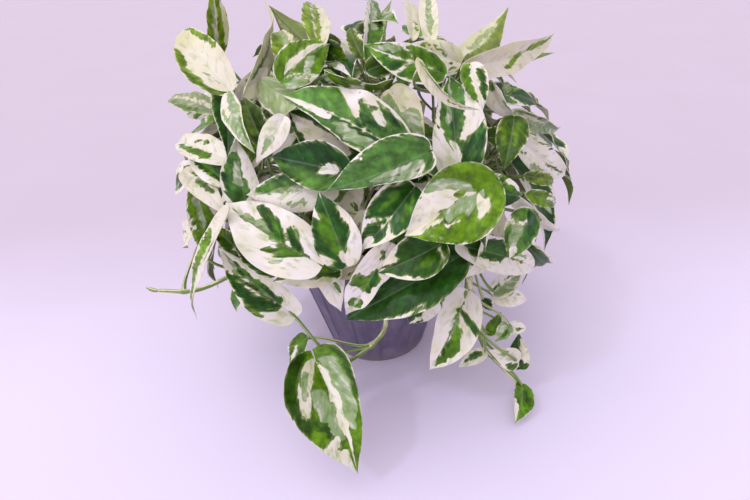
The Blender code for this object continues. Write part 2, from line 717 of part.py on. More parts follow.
def material(name, colour, roughness):
    """A plain finish."""
    finish = bpy.data.materials.new(name)
    finish.use_nodes = True
    shader = finish.node_tree.nodes["Principled BSDF"]
    shader.inputs["Base Color"].default_value = (*colour, 1.0)
    shader.inputs["Roughness"].default_value = roughness
    shader.inputs["Metallic"].default_value = 0.0
    finish.diffuse_color = (*colour, 1.0)
    return finish


def mesh_object(name, mesh, collection):
    """An object for a mesh, in a collection."""
    item = bpy.data.objects.new(name, mesh)
    collection.objects.link(item)
    return item


def evaluated_copy(item, name, collection):
    """A new object that holds an object's finished mesh, in place of the object."""
    bpy.context.view_layer.update()
    graph = bpy.context.evaluated_depsgraph_get()
    mesh = bpy.data.meshes.new_from_object(item.evaluated_get(graph))
    copy = mesh_object(name, mesh, collection)
    copy.matrix_world = item.matrix_world.copy()
    bpy.data.objects.remove(item, do_unlink=True)
    mesh.name = name
    return copy


def welded(item, distance):
    """Joins an object's loose seams and turns its faces outward."""
    shape = bmesh.new()
    shape.from_mesh(item.data)
    bmesh.ops.remove_doubles(shape, verts=shape.verts, dist=distance)
    bmesh.ops.recalc_face_normals(shape, faces=shape.faces)
    shape.to_mesh(item.data)
    shape.free()
    return item


def three_sided(collection):
    """The outline of a petiole: three sides are enough at its size."""
    curve = bpy.data.curves.new("petiole_outline", "CURVE")
    curve.dimensions = "2D"
    spline = curve.splines.new("POLY")
    spline.points.add(2)
    spline.use_cyclic_u = True
    for corner, point in enumerate(spline.points):
        angle = corner * 2.0 * math.pi / 3.0
        point.co = (math.cos(angle), math.sin(angle), 0.0, 1.0)
    item = mesh_object("petiole_outline", curve, collection)
    item.hide_render = True
    return item


def tube(name, path, radii, collection, outline_curve=None):
    """A closed tube along a path, as a mesh: four-sided, or with the outline of another curve."""
    curve = bpy.data.curves.new(name, "CURVE")
    curve.dimensions = "3D"
    curve.use_fill_caps = True
    if outline_curve:
        curve.bevel_mode = "OBJECT"
        curve.bevel_object = outline_curve
    else:
        curve.bevel_depth = 1.0
        curve.bevel_resolution = 0
    spline = curve.splines.new("POLY")
    spline.points.add(len(path) - 1)
    for point, position, radius in zip(spline.points, path, radii):
        point.co = (*position, 1.0)
        point.radius = radius
    item = mesh_object(name + "_curve", curve, collection)
    return welded(evaluated_copy(item, name, collection), 0.01 * MM)


def blade_object(blade, collection):
    """The blade as a shaped grid with Solidify, its two ends drawn to a point."""
    mesh = bpy.data.meshes.new(blade.name)
    shape = bmesh.new()
    stations = np.array(blade_rows(blade))
    last = len(stations) - 1
    bmesh.ops.create_grid(shape, x_segments=2, y_segments=last, size=1.0)
    across = np.array([corner.co.x for corner in shape.verts])
    rows = np.rint((np.array([corner.co.y for corner in shape.verts]) + 1.0) * 0.5 * last).astype(int)
    points = blade_points(blade, stations[rows], across)
    for corner, point in zip(shape.verts, points):
        corner.co = point
    bmesh.ops.triangulate(shape, faces=shape.faces, quad_method="FIXED")
    bmesh.ops.remove_doubles(shape, verts=shape.verts, dist=0.01 * MM)
    shape.to_mesh(mesh)
    shape.free()
    item = mesh_object(blade.name, mesh, collection)
    thickness = item.modifiers.new("Thickness", "SOLIDIFY")
    thickness.thickness = BLADE_THICKNESS
    thickness.offset = 0.0
    return item


def keep_body(item):
    """Keeps the largest closed body, so that sealed hollows are filled and loose scraps dropped."""
    shape = bmesh.new()
    shape.from_mesh(item.data)
    shape.faces.ensure_lookup_table()
    left = set(shape.faces)
    bodies = []
    while left:
        body = {left.pop()}
        edge = list(body)
        while edge:
            face = edge.pop()
            for side in face.edges:
                for other in side.link_faces:
                    if other in left:
                        left.discard(other)
                        body.add(other)
                        edge.append(other)
        volume = 0.0
        for face in body:
            corners = [corner.co for corner in face.verts]
            for index in range(1, len(corners) - 1):
                volume += corners[0].dot(corners[index].cross(corners[index + 1]))
        bodies.append((volume, body))
    bodies.sort(key=lambda pair: pair[0])
    spare = [face for _, body in bodies[:-1] for face in body]
    bmesh.ops.delete(shape, geom=spare, context="FACES")
    shape.to_mesh(item.data)
    shape.free()


def build_vine(key, stem, leaves, petiole_outline, finish, collection):
    """One leafy stem: stem, petioles and blades joined as one solid."""
    pieces = new_collection("pieces_" + key)
    trunk = tube("stem_" + key, stem, stem_radii(stem), collection)
    for blade, path in leaves:
        blade_object(blade, pieces)
        radii = np.full(len(path), PETIOLE_RADIUS)
        tube("petiole_" + blade.name, path, radii, pieces, petiole_outline)
    union = trunk.modifiers.new("Union", "BOOLEAN")
    union.operation = "UNION"
    union.operand_type = "COLLECTION"
    union.solver = "MANIFOLD"
    union.collection = pieces
    item = evaluated_copy(trunk, "vine_" + key, collection)
    for piece in list(pieces.objects):
        bpy.data.objects.remove(piece, do_unlink=True)
    bpy.data.collections.remove(pieces)
    keep_body(item)
    item.data.materials.clear()
    item.data.materials.append(finish)
    return item


def turned_solid(name, profile, steps, collection):
    """A solid turned from a profile of (radius, height) points, which ends down its outer side."""
    mesh = bpy.data.meshes.new(name)
    points = [(radius, 0.0, height) for radius, height in profile]
    mesh.from_pydata(points, [(index, index + 1) for index in range(len(points) - 1)], [])
    item = mesh_object(name + "_profile", mesh, collection)
    screw = item.modifiers.new("Screw", "SCREW")
    screw.steps = steps
    screw.render_steps = steps
    screw.use_merge_vertices = True
    screw.merge_threshold = 0.00005
    return welded(evaluated_copy(item, name, collection), 0.01 * MM)


def outer_radius(height):
    """The radius of the pot's body at a height, below its rim."""
    return FOOT_RADIUS + (RIM_RADIUS - RIM_STEP - FOOT_RADIUS) * height / POT_HEIGHT


def build_pot(finish, collection, cutters):
    """The pot: a thin tapered shell with a rim, shallow upright panels and drain notches at its foot."""
    profile = (
        (0.0, FLOOR),
        (outer_radius(FLOOR) - WALL, FLOOR),
        (outer_radius(RIM_LOW) - WALL, RIM_LOW),
        (RIM_RADIUS - WALL, POT_HEIGHT),
        (RIM_RADIUS, POT_HEIGHT),
        (RIM_RADIUS - 0.3 * MM, RIM_LOW),
        (outer_radius(RIM_LOW), RIM_LOW),
        (outer_radius(PANEL_TOP), PANEL_TOP),
        (outer_radius(PANEL_FOOT), PANEL_FOOT),
        (FOOT_RADIUS, 0.0),
        (0.0, 0.0),
    )
    steps = PANELS * 4
    pot = turned_solid("pot", profile, steps, collection)
    share = (0.0, 0.44, 0.5, 0.94)
    for corner in pot.data.vertices:
        radius = math.hypot(corner.co.x, corner.co.y)
        height = corner.co.z
        on_panel = abs(height - PANEL_TOP) < 0.1 * MM or abs(height - PANEL_FOOT) < 0.1 * MM
        if not on_panel or radius < outer_radius(height) - 0.5 * WALL:
            continue
        index = round(math.atan2(corner.co.y, corner.co.x) / (2.0 * math.pi) * steps) % steps
        angle = (index // 4 + share[index % 4]) * 2.0 * math.pi / PANELS
        depth = radius - (PANEL_STEP if index % 4 < 2 else 0.0)
        corner.co.x = depth * math.cos(angle)
        corner.co.y = depth * math.sin(angle)
    for index in range(NOTCHES):
        angle = (index + 0.5) * 2.0 * math.pi / NOTCHES
        bpy.ops.mesh.primitive_cube_add(size=1.0)
        cutter = bpy.context.object
        cutter.name = f"notch_{index}"
        for held in list(cutter.users_collection):
            held.objects.unlink(cutter)
        cutters.objects.link(cutter)
        cutter.scale = NOTCH_SIZE
        cutter.location = (FOOT_RADIUS * math.cos(angle), FOOT_RADIUS * math.sin(angle), 0.0)
        cutter.rotation_euler = (0.0, 0.0, angle)
        cutter.hide_render = True
        cutter.display_type = "WIRE"
    cut = pot.modifiers.new("Drain notches", "BOOLEAN")
    cut.operation = "DIFFERENCE"
    cut.operand_type = "COLLECTION"
    cut.collection = cutters
    pot.data.materials.clear()
    pot.data.materials.append(finish)
    return pot


def build_soil(stems, finish, collection, holes):
    """The potting mix: a plug with an uneven top and a plain hole for each stem."""
    edge = outer_radius(SOIL_TOP) - WALL - GAP
    foot = outer_radius(FLOOR + GAP) - WALL - GAP
    shares = (0.35, 0.7)
    profile = [(0.0, SOIL_TOP)] + [(edge * share, SOIL_TOP) for share in shares]
    profile += [(edge, SOIL_TOP), (foot, FLOOR + GAP), (0.0, FLOOR + GAP)]
    soil = turned_solid("soil", profile, SOIL_SIDES, collection)
    for corner in soil.data.vertices:
        radius = math.hypot(corner.co.x, corner.co.y)
        if corner.co.z > SOIL_TOP - 0.1 * MM and radius < 0.9 * edge:
            wave = math.sin(corner.co.x / (9.0 * MM)) + math.cos(corner.co.y / (7.0 * MM) + 1.0)
            corner.co.z += 0.5 * SOIL_RELIEF * wave
    for key, stem in stems.items():
        bpy.ops.mesh.primitive_cylinder_add(vertices=6, radius=HOLE_RADIUS, depth=2.0 * HOLE_DEPTH)
        hole = bpy.context.object
        hole.name = "hole_" + key
        for held in list(hole.users_collection):
            held.objects.unlink(hole)
        holes.objects.link(hole)
        hole.location = (stem[0][0], stem[0][1], stem[0][2] - GAP + HOLE_DEPTH)
        hole.hide_render = True
        hole.display_type = "WIRE"
    cut = soil.modifiers.new("Stem holes", "BOOLEAN")
    cut.operation = "DIFFERENCE"
    cut.operand_type = "COLLECTION"
    cut.collection = holes
    soil.data.materials.clear()
    soil.data.materials.append(finish)
    return soil


def main():
    """Builds the pot, the soil and the leafy stems."""
    clear_scene()
    plant = new_collection("potted_pothos")
    cutters = new_collection("pot_cutters")
    holes = new_collection("soil_cutters")
    stems = {key: stem_path(points, STEM_STEPS) for key, points in VINES.items()}
    build_pot(material("pot_plastic", POT_VIOLET_GREY, 0.55), plant, cutters)
    build_soil(stems, material("potting_mix", SOIL_BLACK, 0.95), plant, holes)
    placed = place_leaves(stems)
    petiole_outline = three_sided(plant)
    for key, stem in stems.items():
        leaves = [(blade, path) for blade, path in placed if blade.vine == key]
        finish = material("leaf_" + key, LEAF_GREEN, 0.35)
        build_vine(key, stem, leaves, petiole_outline, finish, plant)
    bpy.data.objects.remove(petiole_outline, do_unlink=True)


if __name__ == "__main__":
    main()
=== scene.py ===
"""How a potted pothos looks: marbled leaves, stalks, a moulded nursery pot, potting mix and water drops.

Metres, +Z up, front towards -Y. The origin is the centre of the pot's underside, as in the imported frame.
The stems, the leaves and the rule that clears them are the ones the solids are made by, so each fine leaf
lies on its own solid. On a leaf, along runs from 0 at its base to 1 at its tip, and across from -1 to 1."""

import logging
import math
from dataclasses import dataclass, replace
from enum import Enum

import bpy
import numpy as np
from mathutils import Matrix, Vector
from mathutils.bvhtree import BVHTree


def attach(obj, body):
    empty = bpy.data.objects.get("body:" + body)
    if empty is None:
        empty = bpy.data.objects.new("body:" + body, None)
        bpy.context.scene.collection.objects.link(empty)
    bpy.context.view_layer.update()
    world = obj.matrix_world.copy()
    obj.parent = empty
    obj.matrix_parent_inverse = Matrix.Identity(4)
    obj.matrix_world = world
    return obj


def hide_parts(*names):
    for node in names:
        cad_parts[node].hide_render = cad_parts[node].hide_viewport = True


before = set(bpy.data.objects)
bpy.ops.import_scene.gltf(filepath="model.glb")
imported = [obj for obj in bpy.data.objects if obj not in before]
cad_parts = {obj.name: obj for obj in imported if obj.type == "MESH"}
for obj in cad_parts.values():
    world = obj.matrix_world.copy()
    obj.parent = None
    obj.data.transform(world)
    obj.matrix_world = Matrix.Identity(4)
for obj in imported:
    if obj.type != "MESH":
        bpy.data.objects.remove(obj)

LOG = logging.getLogger("potted_pothos")
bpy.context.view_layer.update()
MM = 0.001
BODY = "root"

# Pot: a 13 cm nursery pot
RIM_RADIUS = 65.0 * MM
POT_HEIGHT = 96.5 * MM
FOOT_RADIUS = 37.6 * MM
RIM_DEPTH = 7.0 * MM
RIM_STEP = 1.6 * MM
SOIL_TOP = 84.5 * MM

# Stems, petioles and leaves
STEM_RADIUS = 2.0 * MM
STEM_TIP_RADIUS = 1.3 * MM
STEM_STEPS = 3
PETIOLE_RADIUS = 0.95 * MM
PETIOLE_REACH = 40.0 * MM
SPEAR_LENGTH = 10.0 * MM
BLADE_THICKNESS = 0.7 * MM
CLEARANCE = 0.75 * MM
TABLE_CLEARANCE = 1.5 * MM
LARGE_ROWS = (0.0, 0.1, 0.3, 0.55, 0.8, 1.0)
SMALL_ROWS = (0.0, 0.12, 0.4, 0.72, 1.0)
FEW_ROWS = (0.0, 0.2, 0.62, 1.0)
SOLID_COLUMNS = (-1.0, 0.0, 1.0)
LARGE_WIDTH = 22.0 * MM
SMALL_WIDTH = 12.0 * MM
OUTLINE_RISE = 0.6
OUTLINE_FALL = 1.1
TRIM_END = 0.6
FRONT_TRAILERS = ("front_low", "right_trailer")

# The dome that the outer leaves lie on
DOME_CENTRE = np.array((0.0, 0.0, 130.0)) * MM
DOME_AXES = np.array((140.0, 115.0, 120.0)) * MM

# The viewpoint of the picture
EYE = np.array((0.9, -359.0, 302.0)) * MM
PITCH = math.radians(32.0)
ROLL = math.radians(-3.1)
FOCAL_PIXELS = 560.0
FRAME_CENTRE = (375.0, 250.0)
FRAME_WIDTH = 750.0
SENSOR_WIDTH = 36.0

# Where placed leaves fill the picture, and how a leaf looks for a clear place
FRAME_SIDES = (186.0, 564.0)
FRAME_TOP = -4.0
SLIDE_STEP = 2.0 * MM
SLIDE_STEPS = 12
BULGE = 9.0 * MM
BEND_COST = 12.0 * MM
CROWDING_COST = 5.0 * MM
RULE_WIDTH = (0.53, 0.05)
RULE_FOLD = math.radians(13.0)
RULE_TWIST = math.radians(12.0)
UP = np.array((0.0, 0.0, 1.0))

# How much finer the scene's stems are, and how far apart a fine leaf's points lie, in millimetres
FINER_STEM = 8
FRONT_CELL = 1.5
BACK_CELL = 2.1

# How a fine leaf departs from its solid: these heights and lengths are in millimetres
MIDRIB_GROOVE = 0.3
MIDRIB_RIDGE = 0.55
CREASE = 1.3
QUILTING = 0.2
SWELL_BY_VEIN = 0.4
SWELL_ACROSS = 0.3
LOBE_OVERLAP = 6.0
LOBE_LIFT = 1.6
EDGE_THICKNESS = 0.13
MIDDLE_THICKNESS = 0.12

# and these are shares of its width or its length
RUFFLE = 0.04
CUPPING = 0.09
DROOP = 0.035
SWAY = 0.03

# What a marking's field holds far inside or outside a patch, in millimetres
FAR = 30.0


@dataclass(frozen=True)
class Spread:
    """A rule that spreads leaves over domes inside the plant's own.

    domes holds a name, the directions tried, how far out the leaves start as a share of the plant's dome,
    and the lowest direction. length is in metres, with its spread. heading is shares of outward, down and
    sideways, face is shares of up and sideways, and back is how far up a leaf starts, as a share of it."""

    seed: int
    domes: tuple
    length: tuple
    heading: tuple
    face: tuple
    back: float


BESIDE_AND_BEHIND = Spread(
    21, (("outer", 104, 0.74, -0.42), ("inner", 18, 0.36, -0.15)), (56.0 * MM, 9.0 * MM),
    (0.35, 0.75, 0.75), (0.5, 0.35), 0.2,
)
FILLERS = Spread(
    33, (("filler_0", 96, 0.83, -0.3), ("filler_1", 64, 0.6, -0.2)), (38.0 * MM, 7.0 * MM),
    (0.3, 0.6, 0.9), (0.4, 0.5), 0.3,
)


class Pigment(Enum):
    """The four colours that a marbled leaf is made up of."""

    CREAM = 0
    SAGE = 1
    BRIGHT = 2
    DEEP = 3


CREAM, SAGE, BRIGHT, DEEP = Pigment


@dataclass(frozen=True)
class Marking:
    """How a leaf is coloured: its ground, then tapered strokes painted over it in order.

    A stroke is (pigment, across, along, across, along, radius, radius): where it starts and ends, and its
    half width there as a share of the leaf's. margin is the width of a cream edge on either half. tone
    runs from -1, blue-green, to 1, yellow-green, and age from 0 to 1, tan and specked."""

    ground: Pigment
    strokes: tuple = ()
    margin: tuple = (0.0, 0.0)
    tone: float = 0.0
    age: float = 0.0


@dataclass(frozen=True)
class Leaf:
    """One leaf seen from the front: the picture points of its base and tip, in pixels.

    lift is how far base and tip stand out of the dome towards the eye, in millimetres, and depth, where
    given, is their distance in front of the pot's axis instead. turn rolls the face away from the eye.
    trim is how much narrower the two halves are towards the tip, as shares."""

    name: str
    vine: str
    base: tuple
    tip: tuple
    width: float
    marking: Marking
    lift: tuple = (0.0, 0.0)
    turn: float = 0.0
    arch: float = 0.09
    fold: float = 12.0
    twist: float = 0.0
    lobe: float = 0.07
    depth: tuple = None
    trim: tuple = (0.0, 0.0)


def seen(
    name: str, vine: str, base: tuple, tip: tuple, width: float, ground: Pigment, *strokes: tuple,
    **form: object,
) -> Leaf:
    """A leaf as it was read off the picture, and its marking, whose strokes are given in hundredths."""
    shares = tuple((pigment, *(number / 100.0 for number in numbers)) for pigment, *numbers in strokes)
    look = {key: form.pop(key) for key in ("margin", "tone", "age") if key in form}
    return Leaf(name, vine, base, tip, width, Marking(ground, shares, **look), **form)


# The stems: the points that each runs through, in millimetres, from its foot in the soil
VINES = {
    "crown_left": ((-35, 14, 69), (-35, 14, 91), (-46, 12, 135), (-66, 4, 186)),
    "shoulder_left": ((-42, -9, 69), (-42, -9, 91), (-54, -22, 125), (-68, -40, 160)),
    "left_runner": (
        (-39, -26, 69), (-39, -26, 91), (-58, -42, 111), (-84, -56, 104), (-116, -60, 92),
        (-146, -50, 86),
    ),
    "front_left": ((-22, -35, 69), (-22, -35, 91), (-28, -52, 118), (-36, -74, 142)),
    "front": ((7, -35, 69), (7, -35, 91), (10, -54, 116), (16, -78, 136)),
    "front_right": ((26, -31, 69), (26, -31, 91), (36, -50, 120), (46, -72, 142)),
    "right_trailer": (
        (44, -18, 69), (44, -18, 91), (57, -46, 116), (57, -76, 108), (59, -80, 92), (64, -78, 70),
        (70, -78, 46), (84, -78, 26), (98, -80, 9),
    ),
    "front_low": (
        (-6, -46, 69), (-6, -46, 91), (0, -66, 107), (5, -78, 90), (4, -84, 70), (-10, -90, 58),
        (-26, -94, 50),
    ),
    "right": ((44, 9, 69), (44, 9, 91), (58, -4, 122), (76, -26, 158)),
    "crown_right": ((28, 20, 69), (28, 20, 91), (38, 10, 135), (54, -6, 192)),
    "crown_front_left": ((-18, 25, 69), (-18, 25, 91), (-22, 16, 140), (-32, -6, 194)),
    "crown_front_right": ((8, 31, 69), (8, 31, 91), (10, 22, 140), (14, -10, 198)),
    "heart": ((-6, -10, 69), (-6, -10, 91), (-6, -20, 128), (0, -44, 168)),
    "back_left": ((-33, 31, 69), (-33, 31, 91), (-48, 42, 125), (-66, 54, 158)),
    "back": ((-1, 45, 69), (-1, 45, 91), (-4, 62, 125), (-2, 80, 156)),
    "back_right": ((33, 31, 69), (33, 31, 91), (48, 44, 125), (66, 56, 158)),
    "back_low_left": ((-18, 43, 69), (-18, 43, 91), (-28, 67, 111), (-40, 88, 106), (-54, 104, 88)),
    "back_low_right": ((18, 43, 69), (18, 43, 91), (28, 67, 111), (42, 88, 106), (58, 102, 90)),
    "crown_back": ((8, 8, 69), (8, 8, 91), (8, 16, 140), (4, 34, 192)),
}

# The leaves seen from the front, read off one by one
LEAVES = (
    seen("heart_water", "front_right", (478, 193), (405, 236), 41, BRIGHT, (SAGE, 15, 4, 12, 48, 26, 13),
        (CREAM, 32, 100, -5, 82, 40, 26), (CREAM, -70, 100, -62, 72, 50, 36),
        (CREAM, -10, 90, -30, 70, 40, 42), (CREAM, -35, 72, -42, 60, 42, 40),
        (CREAM, -42, 60, -28, 36, 38, 20), (CREAM, -28, 36, -14, 8, 20, 7), (CREAM, 20, 65, 42, 42, 8, 4),
        (CREAM, 25, 5, 62, 16, 8, 15), (SAGE, -85, 52, -32, 13, 12, 11), (BRIGHT, -20, 21, -20, 25, 11, 8),
        tone=0.35, lift=(8, 8), lobe=0.3, fold=6, trim=(0.15, 0)),
    seen("centre_top", "heart", (425, 153), (326, 191), 30, BRIGHT, (SAGE, 30, 12, 30, 52, 24, 16),
        (SAGE, 75, 20, 70, 50, 20, 14), (CREAM, -100, 62, -68, 58, 9, 3), (CREAM, -100, 8, -86, 10, 10, 6),
        (CREAM, 50, 9, 95, 20, 6, 5), tone=-0.6, margin=(0.05, 0.05), lift=(6, 8), fold=10, trim=(0, 0.62)),
    seen("white_feather", "front_left", (316, 262), (224, 202), 33, CREAM, (SAGE, -12, 38, -8, 72, 22, 12),
        (SAGE, 40, 24, 65, 30, 4, 9), (DEEP, -10, 36, -45, 50, 16, 24), (DEEP, -45, 50, -68, 62, 24, 18),
        (DEEP, -5, 16, -50, 32, 13, 18), (BRIGHT, -30, 42, -60, 56, 7, 8), (BRIGHT, 3, 16, 34, 38, 14, 16),
        (BRIGHT, 0, 7, 0, 90, 6, 3), (BRIGHT, -90, 10, -70, 10, 10, 5), tone=-0.1, lift=(2, 2)),
    seen("half_white", "front_left", (345, 262), (318, 191), 25, DEEP, (BRIGHT, 15, 20, 40, 62, 20, 34),
        (CREAM, -100, 80, -95, 60, 6, 30), (CREAM, -95, 60, -86, 50, 30, 26),
        (CREAM, -95, 40, -80, 30, 28, 34), (CREAM, -80, 30, -55, 8, 34, 36), (CREAM, 100, 78, 55, 68, 12, 3),
        (CREAM, 100, 22, 70, 13, 13, 8), (CREAM, 0, 0, 0, 6, 50, 30), (CREAM, 0, 100, 0, 98, 30, 20),
        tone=-0.05, lift=(0, 0), turn=-10),
    seen("green_margined", "front", (412, 190), (360, 251), 27, DEEP, (BRIGHT, -45, 20, -40, 42, 14, 8),
        (BRIGHT, 40, 14, 45, 40, 16, 10), (CREAM, -100, 74, -25, 52, 12, 4), (CREAM, -25, 52, 0, 46, 4, 4),
        (CREAM, 0, 38, 0, 60, 3.5, 4), (CREAM, 5, 50, 90, 68, 5, 12), (CREAM, 95, 68, 75, 100, 25, 30),
        (CREAM, 0, 100, 0, 95, 70, 60), (CREAM, -95, 10, -90, 14, 9, 6), tone=-0.1, margin=(0.05, 0.05),
        lift=(-5, 0), trim=(0, 0.25)),
    seen("big_back_white", "heart", (394, 148), (281, 93), 36, BRIGHT, (SAGE, 50, 12, 50, 42, 36, 28),
        (DEEP, 15, 10, 12, 50, 10, 8), (CREAM, 30, 100, 36, 62, 36, 30), (CREAM, -100, 52, -35, 38, 24, 10),
        (CREAM, -90, 38, -50, 20, 16, 12), (DEEP, -75, 30, -50, 30, 9, 5), (DEEP, -35, 18, -10, 34, 12, 6),
        (DEEP, -95, 16, -75, 16, 12, 7), (CREAM, 0, 10, 0, 90, 2, 3), tone=-0.6, margin=(0.04, 0.05),
        lift=(-8, -2), turn=20, lobe=0.12, trim=(0, 0.5)),
    seen("upright_right", "crown_right", (459, 168), (449, 74), 33, BRIGHT, (SAGE, 25, 50, 15, 85, 20, 16),
        (DEEP, 0, 40, -10, 60, 18, 16), (CREAM, 95, 95, 90, 50, 10, 12), (CREAM, 80, 36, 50, 4, 26, 45),
        (CREAM, 8, 26, 8, 0, 10, 30), (CREAM, -95, 80, -75, 50, 12, 32), (CREAM, -70, 48, -30, 30, 30, 12),
        (DEEP, -32, 10, -50, 26, 18, 16), (DEEP, -85, 12, -90, 36, 22, 14), (CREAM, 0, 100, 0, 97, 30, 20),
        tone=-0.5, lift=(-6, -2), lobe=0.12, trim=(0, 0.4)),
    seen("dark_spotted", "front", (441, 244), (377, 273), 27, DEEP, (BRIGHT, 40, 20, 40, 45, 10, 8),
        (CREAM, -95, 66, -80, 80, 14, 26), (CREAM, -80, 80, -40, 72, 24, 12),
        (CREAM, -40, 95, -20, 86, 20, 10), (CREAM, 98, 50, 80, 88, 14, 18), (CREAM, 20, 5, 95, 13, 4, 4),
        tone=0.1, lift=(0, 2), trim=(0.15, 0.1)),
    seen("front_split", "front", (388, 248), (346, 317), 24, CREAM, (BRIGHT, -45, 74, 50, 74, 28, 28),
        (SAGE, 0, 70, 5, 80, 16, 12), (BRIGHT, -70, 42, 45, 40, 36, 36), (BRIGHT, -20, 50, 30, 50, 26, 26),
        (DEEP, 10, 30, 40, 46, 24, 18), (CREAM, -85, 66, -10, 59, 9, 5), (CREAM, -10, 59, 60, 56, 5, 3),
        (DEEP, -30, 6, 15, 13, 15, 12), tone=-0.05, lift=(-4, 0), turn=-25, trim=(0, 0.42)),
    seen("glossy_dark", "front", (457, 258), (343, 320), 34, DEEP, (BRIGHT, -80, 86, -60, 62, 12, 14),
        (CREAM, 92, 40, 98, 70, 5, 3), lift=(-13, -7), turn=15),
    seen("round_margined", "front", (436, 280), (408, 325), 21, DEEP, (CREAM, 5, 20, 50, 62, 12, 16),
        (CREAM, 55, 30, 90, 60, 30, 30), (CREAM, 50, 65, 40, 100, 16, 30),
        (BRIGHT, -40, 30, -40, 70, 25, 25), lift=(-19, -17)),
    seen("mottled_low", "front_left", (337, 272), (272, 281), 17, DEEP, (BRIGHT, -30, 20, -30, 80, 30, 20),
        (CREAM, 75, 15, 60, 90, 34, 30), (SAGE, 20, 30, 10, 70, 20, 14), tone=0.3, margin=(0.1, 0.14),
        lift=(-11, -6), turn=15),
    seen("shade_cream", "front_left", (364, 260), (334, 279), 11, CREAM, (BRIGHT, 50, 30, 50, 60, 15, 10),
        tone=0.6, age=0.55, lift=(-18, -16)),
    seen("cream_round", "front_left", (364, 214), (354, 264), 11, CREAM, (SAGE, -30, 20, -30, 50, 20, 14),
        (BRIGHT, 50, 40, 40, 70, 12, 10), tone=0.4, age=0.15, lift=(-12, -9)),
    seen("left_hanging", "front_low", (291, 313), (218, 247), 27, CREAM, (SAGE, 20, 70, 5, 90, 20, 20),
        (DEEP, -5, 22, -8, 74, 34, 22), (DEEP, 30, 45, 50, 66, 15, 12), (DEEP, 60, 34, 85, 72, 32, 22),
        (DEEP, 15, 16, 60, 34, 20, 30), (BRIGHT, -20, 40, -20, 64, 10, 12), (SAGE, 8, 20, 10, 60, 5, 6),
        (CREAM, 35, 43, 50, 58, 2, 5), (BRIGHT, 90, 26, 95, 38, 12, 12), lift=(-8, -7), trim=(0.42, 0)),
    seen("front_hanging", "front_low", (316, 362), (358, 474), 52, BRIGHT, (SAGE, 42, 14, 50, 52, 28, 34),
        (SAGE, -30, 32, -22, 62, 18, 26), (DEEP, -85, 10, -90, 50, 26, 20), (DEEP, -60, 52, -40, 62, 12, 10),
        (CREAM, -72, 44, -40, 6, 7, 19), (SAGE, -60, 30, -50, 12, 5, 8), (DEEP, 90, 10, 95, 42, 14, 10),
        (CREAM, -90, 76, -25, 66, 14, 9), (CREAM, -80, 92, -40, 86, 36, 20), (CREAM, 8, 0, 10, 45, 10, 15),
        (CREAM, 10, 45, 10, 97, 14, 10), tone=0.3, lobe=0.12, fold=14, depth=(-97, -148), trim=(0, 0.46)),
    seen("front_folded", "front_low", (306, 338), (291, 377), 17, BRIGHT, (DEEP, 50, 30, 40, 80, 30, 20),
        (CREAM, -15, 25, -15, 92, 15, 13), (CREAM, -90, 40, -80, 80, 16, 12), tone=0.1, turn=50,
        depth=(-84, -92)),
    seen("right_hanging", "right_trailer", (466, 296), (429, 371), 32, CREAM,
        (BRIGHT, 18, 34, 42, 60, 14, 30), (BRIGHT, 42, 60, 40, 84, 32, 24), (DEEP, 12, 56, 14, 82, 9, 6),
        (SAGE, 0, 25, 0, 46, 11, 10), (DEEP, 15, 18, 55, 24, 12, 16), (DEEP, 55, 24, 95, 29, 16, 13),
        (DEEP, -8, 17, -8, 23, 12, 10), (BRIGHT, 0, 5, 0, 90, 3, 3), tone=0.05, depth=(-84, -96),
        trim=(0.38, 0)),
    seen("horizontal_left", "shoulder_left", (332, 187), (245, 195), 23, CREAM,
        (BRIGHT, -50, 10, -50, 80, 42, 36), (DEEP, -70, 20, -65, 60, 22, 16), (SAGE, -8, 30, -8, 85, 9, 8),
        (SAGE, 60, 30, 55, 55, 10, 8), tone=-0.5, lift=(-10, -4)),
    seen("shade_dark", "heart", (344, 172), (270, 156), 25, DEEP, (BRIGHT, 65, 10, 60, 90, 32, 30),
        (CREAM, 0, 12, 5, 26, 22, 15), tone=-0.4, lift=(-20, -16)),
    seen("pointing_up", "shoulder_left", (246, 206), (236, 138), 23, CREAM, (BRIGHT, 30, 22, 30, 66, 60, 52),
        (SAGE, 10, 35, 10, 60, 22, 16), (DEEP, 70, 30, 70, 50, 14, 10), tone=-0.6, lift=(-12, -6),
        trim=(0.25, 0)),
    seen("grey_back", "crown_front_left", (262, 82), (297, 110), 20, SAGE, tone=-0.1, margin=(0.12, 0.1),
        lift=(-2, 6), turn=165),
    seen("curled_white", "shoulder_left", (283, 119), (256, 163), 13, CREAM, (SAGE, 0, 45, 5, 80, 30, 26),
        tone=-0.2, lift=(0, 5), turn=10, arch=0.16),
    seen("shade_big_cream", "heart", (354, 152), (287, 110), 25, DEEP, (CREAM, 20, 15, 22, 95, 44, 36),
        tone=0.1, age=0.3, lift=(-17, -14)),
    seen("cream_centre", "heart", (392, 92), (425, 142), 21, CREAM, (SAGE, 10, 62, 10, 95, 70, 50),
        (SAGE, -50, 10, -40, 50, 30, 30), tone=0.8, age=0.2, lift=(-14, -12)),
    seen("left_dark", "shoulder_left", (222, 92), (228, 157), 16, DEEP, (BRIGHT, 30, 30, 30, 70, 30, 20),
        tone=-0.2, margin=(0.0, 0.12), lift=(-2, 0), turn=-10),
    seen("left_mottled", "shoulder_left", (229, 96), (253, 153), 12, SAGE, (CREAM, -50, 5, -40, 40, 25, 15),
        (BRIGHT, 60, 50, 50, 85, 20, 20), tone=0.3, margin=(0.16, 0.12), lift=(3, 5), turn=30),
    seen("left_deep", "shoulder_left", (262, 142), (243, 96), 13, DEEP, (BRIGHT, 40, 20, 40, 70, 30, 20),
        tone=0.5, lift=(-14, -14)),
    seen("left_cream_green", "shoulder_left", (228, 160), (176, 140), 17, CREAM,
